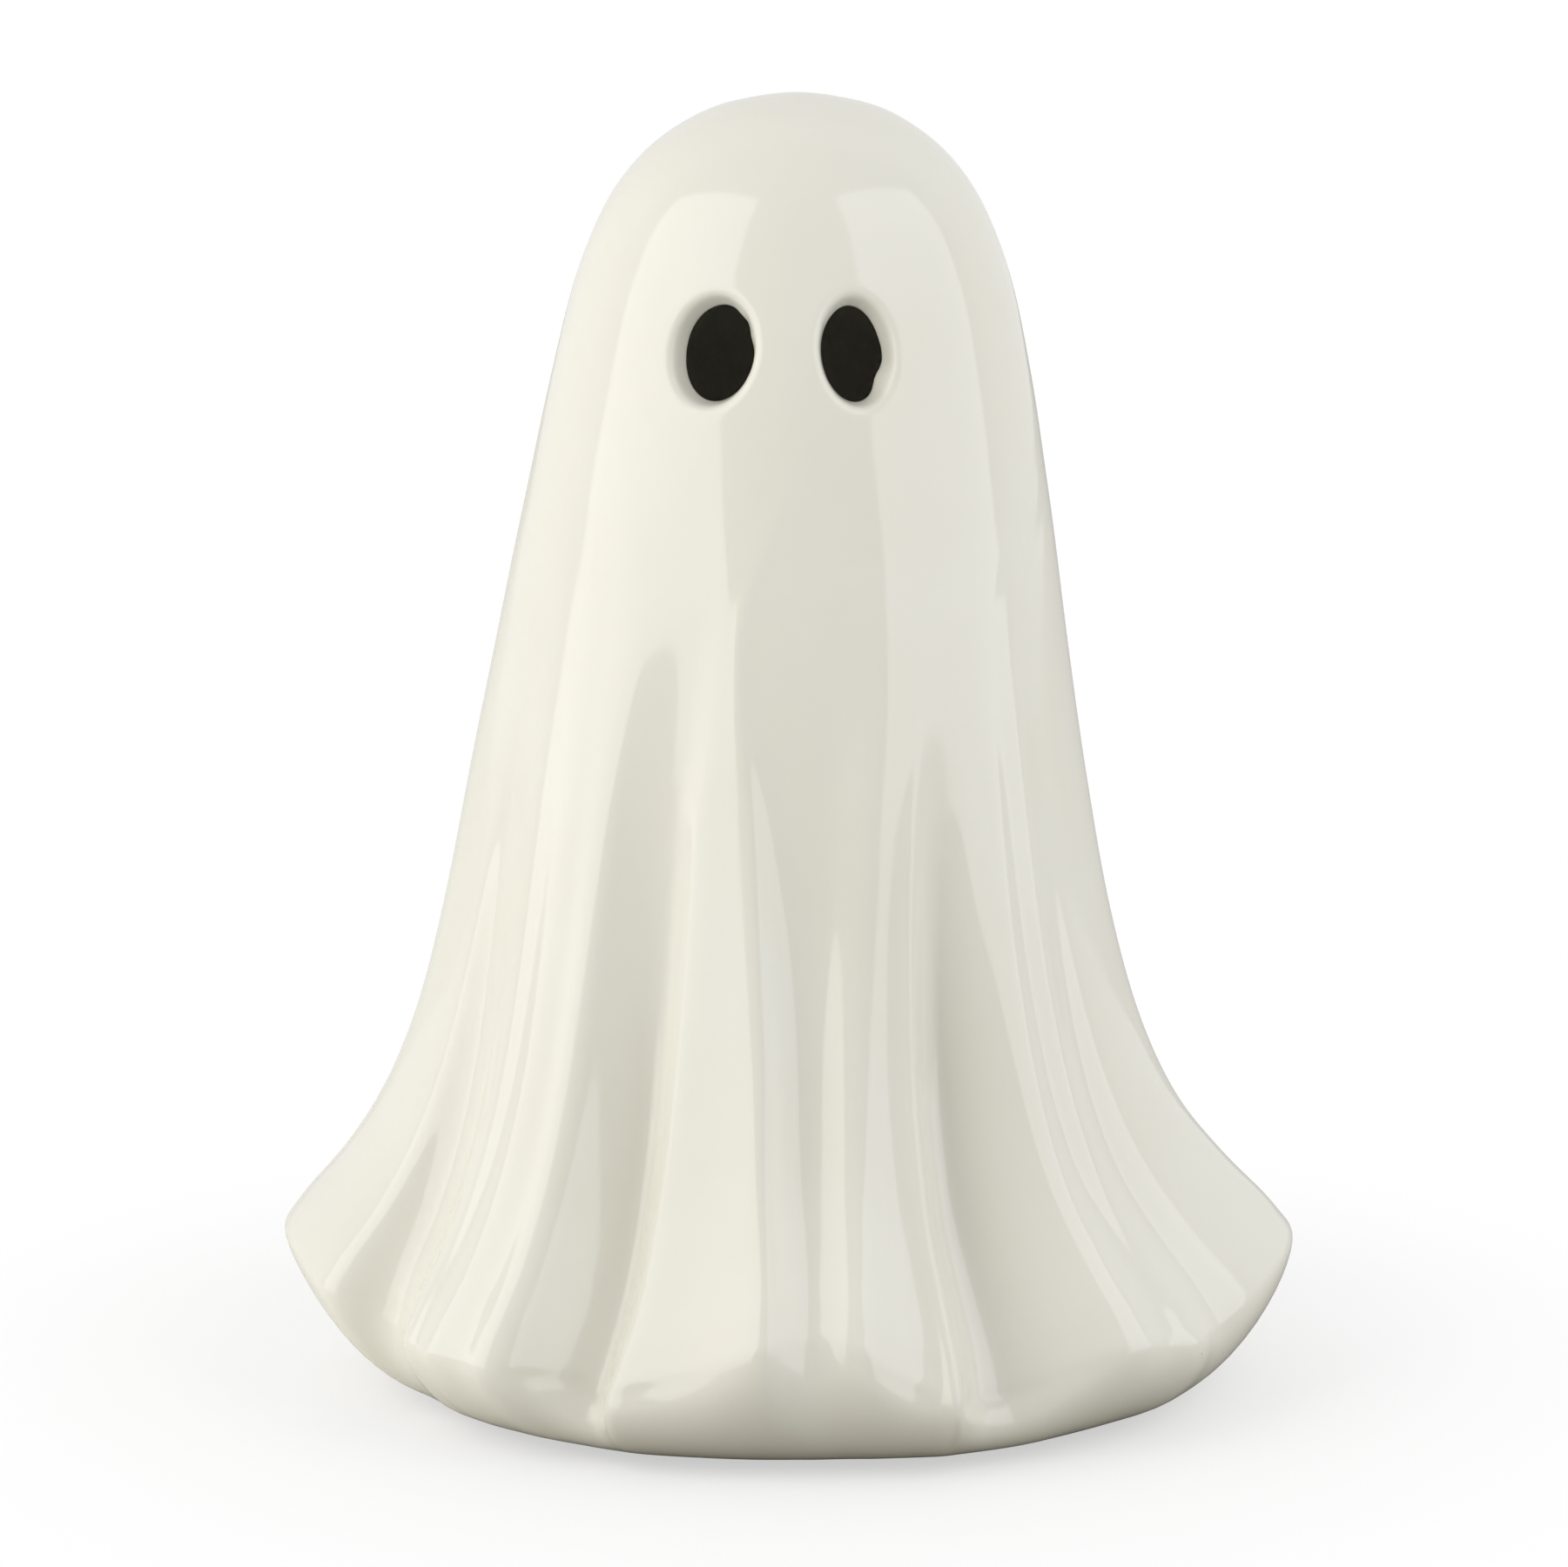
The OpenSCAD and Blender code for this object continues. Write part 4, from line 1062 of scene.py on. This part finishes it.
# The coin cell: a nickel-plated steel can, crimped over a dark gasket on a smaller cap. Its face
# has fine turned rings and a stamped plus sign.
cell_z, cell_top = [corner[2] for corner in solid_box("coin_cell")]
cell = turned("coin_cell_can", rounded([
    (8, cell_z), (cell_r, cell_z), (cell_r, cell_top - 0.5), (9.35, cell_top - 0.34),
    (9.12, cell_top - 0.4), (9.06, cell_top - 0.62), (8.9, cell_top - 0.62), (8.84, cell_top - 0.3),
    (8.55, cell_top), (8, cell_top)], 0.14), 144, under_cell)


def stamp_plus(piece, y, half_length, half_width, low, top):
    """Cuts a plus sign under the cell into a piece's bottom."""
    for half_x, half_y in ((half_length, half_width), (half_width, half_length)):
        carve(piece, block("plus", (cell_x - half_x, y - half_y, low), (cell_x + half_x, y + half_y, top)))


stamp_plus(cell, 0, 1.5, 0.3, cell_z - 1, cell_z + 0.1)
smooth_faces(cell)
plated, where = new_finish("nickel_plate", (0.63, 0.63, 0.62), 0.24, {"Metallic": 1.0})
centred = add_node(plated, "Mapping", {"Vector": where, "Location": (-cell_x * mm, 0, 0)}).outputs["Vector"]
level = add_node(plated, "VectorMath", {0: centred, 1: (1, 1, 0)}, operation="MULTIPLY").outputs["Vector"]
from_axis = add_node(plated, "VectorMath", {0: level}, operation="LENGTH").outputs["Value"]
ring_at = add_node(plated, "CombineXYZ", {"X": from_axis}).outputs["Vector"]
rings = clouds(plated, ring_at, 5000, 3)
past_inner, past_outer = ramp(plated, from_axis, 0.00882, 0.00886), ramp(plated, from_axis, 0.00915, 0.0092)
upper = ramp(plated, along(plated, where, "Z"), (cell_top - 0.75) * mm, (cell_top - 0.7) * mm)
gasket = calc(plated, "MULTIPLY", calc(plated, "SUBTRACT", past_inner, past_outer), upper)
plate = two_tones(plated, clouds(plated, where, 190, 3), (0.52, 0.52, 0.51), (0.68, 0.68, 0.67), 0.25, 0.65)
vary_colour(plated, gasket, plate, (0.03, 0.03, 0.03))
link(plated, calc(plated, "SUBTRACT", 1.0, gasket), shader_of(plated), "Metallic")
vary_gloss(plated, rings, 0.16, 0.36)
roughen(plated, rings, 0.12, 0.00002)
dress(cell, plated, "door", "coin_cell")

# The battery door: a moulded disc with a lug for its screw. It has grip grooves, a plus sign and a
# rounded edge, and lies flush in the housing's bottom.
head_hole, head_sink, groove_r, groove_half = 2.15, 0.9, 9.4, 0.22
door = turned("battery_cover", [(door_r, base_z), (door_r, door_top)], 128, under_cell)
lug = turned("lug", [(lug_r, base_z), (lug_r, door_top)], 64, under_lug)
neck = block("neck", (cell_x - lug_r, 4, base_z), (cell_x + lug_r, screw_y, door_top))
carve(door, lug, neck, operation="UNION")
soften(door, 0.2, 3, 50)
carve(door, turned("door_screw_bore", [(screw_hole, below), (screw_hole, door_top + 1)], 32, under_lug),
      turned("head_seat", [(head_hole, below), (head_hole, base_z), (head_hole - 0.2, base_z + 0.2),
                           (head_hole - 0.2, base_z + head_sink)], 48, under_lug))
for k in range(5):
    y = -8.2 + 1.1 * k
    reach = (groove_r ** 2 - y ** 2) ** 0.5 * 0.7
    carve(door, block("grip_groove", (cell_x - reach, y - groove_half, below),
                      (cell_x + reach, y + groove_half, base_z + 0.25)))
stamp_plus(door, 3, 1.6, 0.28, below, base_z + 0.18)
smooth_faces(door)
dress(door, housing_plastic, "door", "battery_door")

# The door's screw: a zinc-plated pan-head machine screw with a cross recess and a real thread
head_r, head_t, shank_r, thread_depth, thread_pitch = 1.8, 0.9, 0.85, 0.2, 0.6
head_top = base_z + head_t
screw_end = solid_box("door_screw")[1][2]
thread_rows, tip_inset = 54, 0.25
head_outline = [(1.15, base_z), (1.5, base_z + 0.04), (1.68, base_z + 0.14), (1.77, base_z + 0.3),
                (head_r, base_z + 0.5), (head_r, head_top - 0.06), (1.72, head_top)]
shank = [(shank_r - (tip_inset if k == thread_rows else 0), mix(head_top, screw_end, k / thread_rows))
         for k in range(thread_rows + 1)]
screw = turned("cover_screw", head_outline + shank, 28)
for vertex in screw.data.vertices:
    z = vertex.co.z / mm
    if head_top + 0.3 < z < screw_end - 0.05:
        a = atan2(vertex.co.y, vertex.co.x) / (2 * pi)
        phase = (z / thread_pitch - a) % 1
        sunk = thread_depth * abs(2 * phase - 1) ** 0.7
        vertex.co = ring_place((shank_r - sunk) * mm, vertex.co.z)(vertex.co)
for turn in (0, pi / 2):
    cross = block("cross_cut", (-1.0, -0.2, base_z - 0.5), (1.0, 0.2, base_z + 0.45))
    for vertex in cross.data.vertices:
        if vertex.co.z > base_z * mm:
            vertex.co.x *= 0.55
            vertex.co.y *= 0.7
    cross.data.transform(Matrix.Rotation(turn, 4, "Z"))
    carve(screw, cross)
screw.data.transform(Matrix.Translation((cell_x * mm, screw_y * mm, 0)))
smooth_faces(screw, 35)
zinc = plain_metal("zinc_plate", (0.60, 0.61, 0.62), 0.32, (2500, 2500, 2500))
dress(screw, zinc, "screw", "door_screw")

# The studio: a white paper floor that runs into a white backdrop, two tall soft boxes in front, to
# the left and right, and a soft even fill from the white room
floor = add_piece("studio_floor", bpy.ops.mesh.primitive_circle_add, vertices=96, radius=1.6,
                  fill_type="NGON", location=(0, 0, 0))
# The paper throws its light back with painted shade and painted light in its colour: darker and warmer close
# to the figure, and lighter at its left
painted_shade_tone, far_tone, painted_light_tone = (0.28, 0.26, 0.21), (0.57, 0.56, 0.53), (0.85, 0.84, 0.80)
painted_shade_full_to, painted_shade_gone_at, painted_light_start, painted_light_full = 0.055, 0.115, -0.02, -0.07
shadow_near, shadow_far, shadow_share = 0.05, 0.15, 0.55
paper, where = new_finish("studio_paper", far_tone, 0.9)
from_middle = add_node(paper, "VectorMath", {0: where}, operation="LENGTH").outputs["Value"]
# Painted shade: the colour the floor throws back is darker and warmer close to the figure
tone = two_tones(paper, from_middle, painted_shade_tone, far_tone, painted_shade_full_to, painted_shade_gone_at)
# Painted light: the colour the floor throws back is lighter towards the left
vary_colour(paper, along(paper, where, "X"), tone, painted_light_tone, painted_light_start, painted_light_full)
fade = ramp(paper, from_middle, shadow_near, shadow_far, shadow_share, 1, interpolation_type="SMOOTHSTEP")
lit = add_node(paper, "BsdfDiffuse", {"Color": (0.95, 0.95, 0.95, 1)}).outputs[0]
white = add_node(paper, "Emission", {"Color": (1, 1, 1, 1), "Strength": 1.0}).outputs[0]
shown = add_node(paper, "MixShader", {0: fade, 1: lit, 2: white}).outputs[0]


def seen_and_unseen(finish, seen, unseen, end):
    """Shows one shader to the camera, also through clear pieces, and lights all else with the other."""
    path = add_node(finish, "LightPath").outputs
    share = calc(finish, "MAXIMUM", path["Is Camera Ray"], path["Is Transmission Ray"])
    either = add_node(finish, "MixShader", {0: share, 1: unseen, 2: seen})
    link(finish, either.outputs[0], finish.node_tree.nodes[end], "Surface")


seen_and_unseen(paper, shown, shader_of(paper).outputs[0], "Material Output")
floor.data.materials.append(paper)

box_distance = 0.9
box_top = 1.56
box_reach = (0.12, -1.28)
width = box_reach[0] - box_reach[1]
for turn, name, power, tint in ((-38, "left", 13.2, (1, 0.99, 0.965)), (42, "right", 10.8, (0.97, 0.985, 1))):
    middle = (box_reach[0] + box_reach[1]) / 2 * (1 if turn < 0 else -1)
    out = Vector((sin(radians(turn)), -cos(radians(turn)), 0))
    side = Vector((cos(radians(turn)), sin(radians(turn)), 0))
    box = add_piece("soft_box_" + name, bpy.ops.object.light_add, type="AREA",
                    location=out * box_distance + side * middle + Vector((0, 0, box_top / 2)))
    box.data.shape = "RECTANGLE"
    box.data.size = width
    box.data.size_y = box_top
    box.data.energy = power
    box.data.color = tint
    box.rotation_euler = (pi / 2, 0, radians(turn))
world = bpy.data.worlds.new("white_room")
bpy.context.scene.world = world
world.use_nodes = True
front_y, front_strength, back_y, back_strength = -0.1, 0.33, 0.4, 0.82
toward = add_node(world, "TexCoord").outputs["Generated"]
strength = ramp(world, along(world, toward, "Y"), front_y, back_y, front_strength, back_strength,
                interpolation_type="SMOOTHSTEP")
room = world.node_tree.nodes["Background"]
room.inputs["Color"].default_value = (1, 1, 1, 1)
link(world, strength, room, "Strength")
backdrop = add_node(world, "Background", {"Color": (1, 1, 1, 1), "Strength": 1.0})
seen_and_unseen(world, backdrop.outputs[0], room.outputs[0], "World Output")

# The camera stands a metre in front, a little above the head, and looks down at the figure
camera_x, eye_level, aim_level, camera_distance = -0.0012, 0.300, 0.0885, 1.0
camera = add_piece("studio_camera", bpy.ops.object.camera_add,
                   location=(camera_x, -camera_distance, eye_level))
camera.rotation_euler = (pi / 2 - atan((eye_level - aim_level) / camera_distance), 0, 0)
camera.data.lens = 159.9
camera.data.sensor_width = 36
bpy.context.scene.camera = camera
bpy.context.scene.view_settings.view_transform = "Standard"
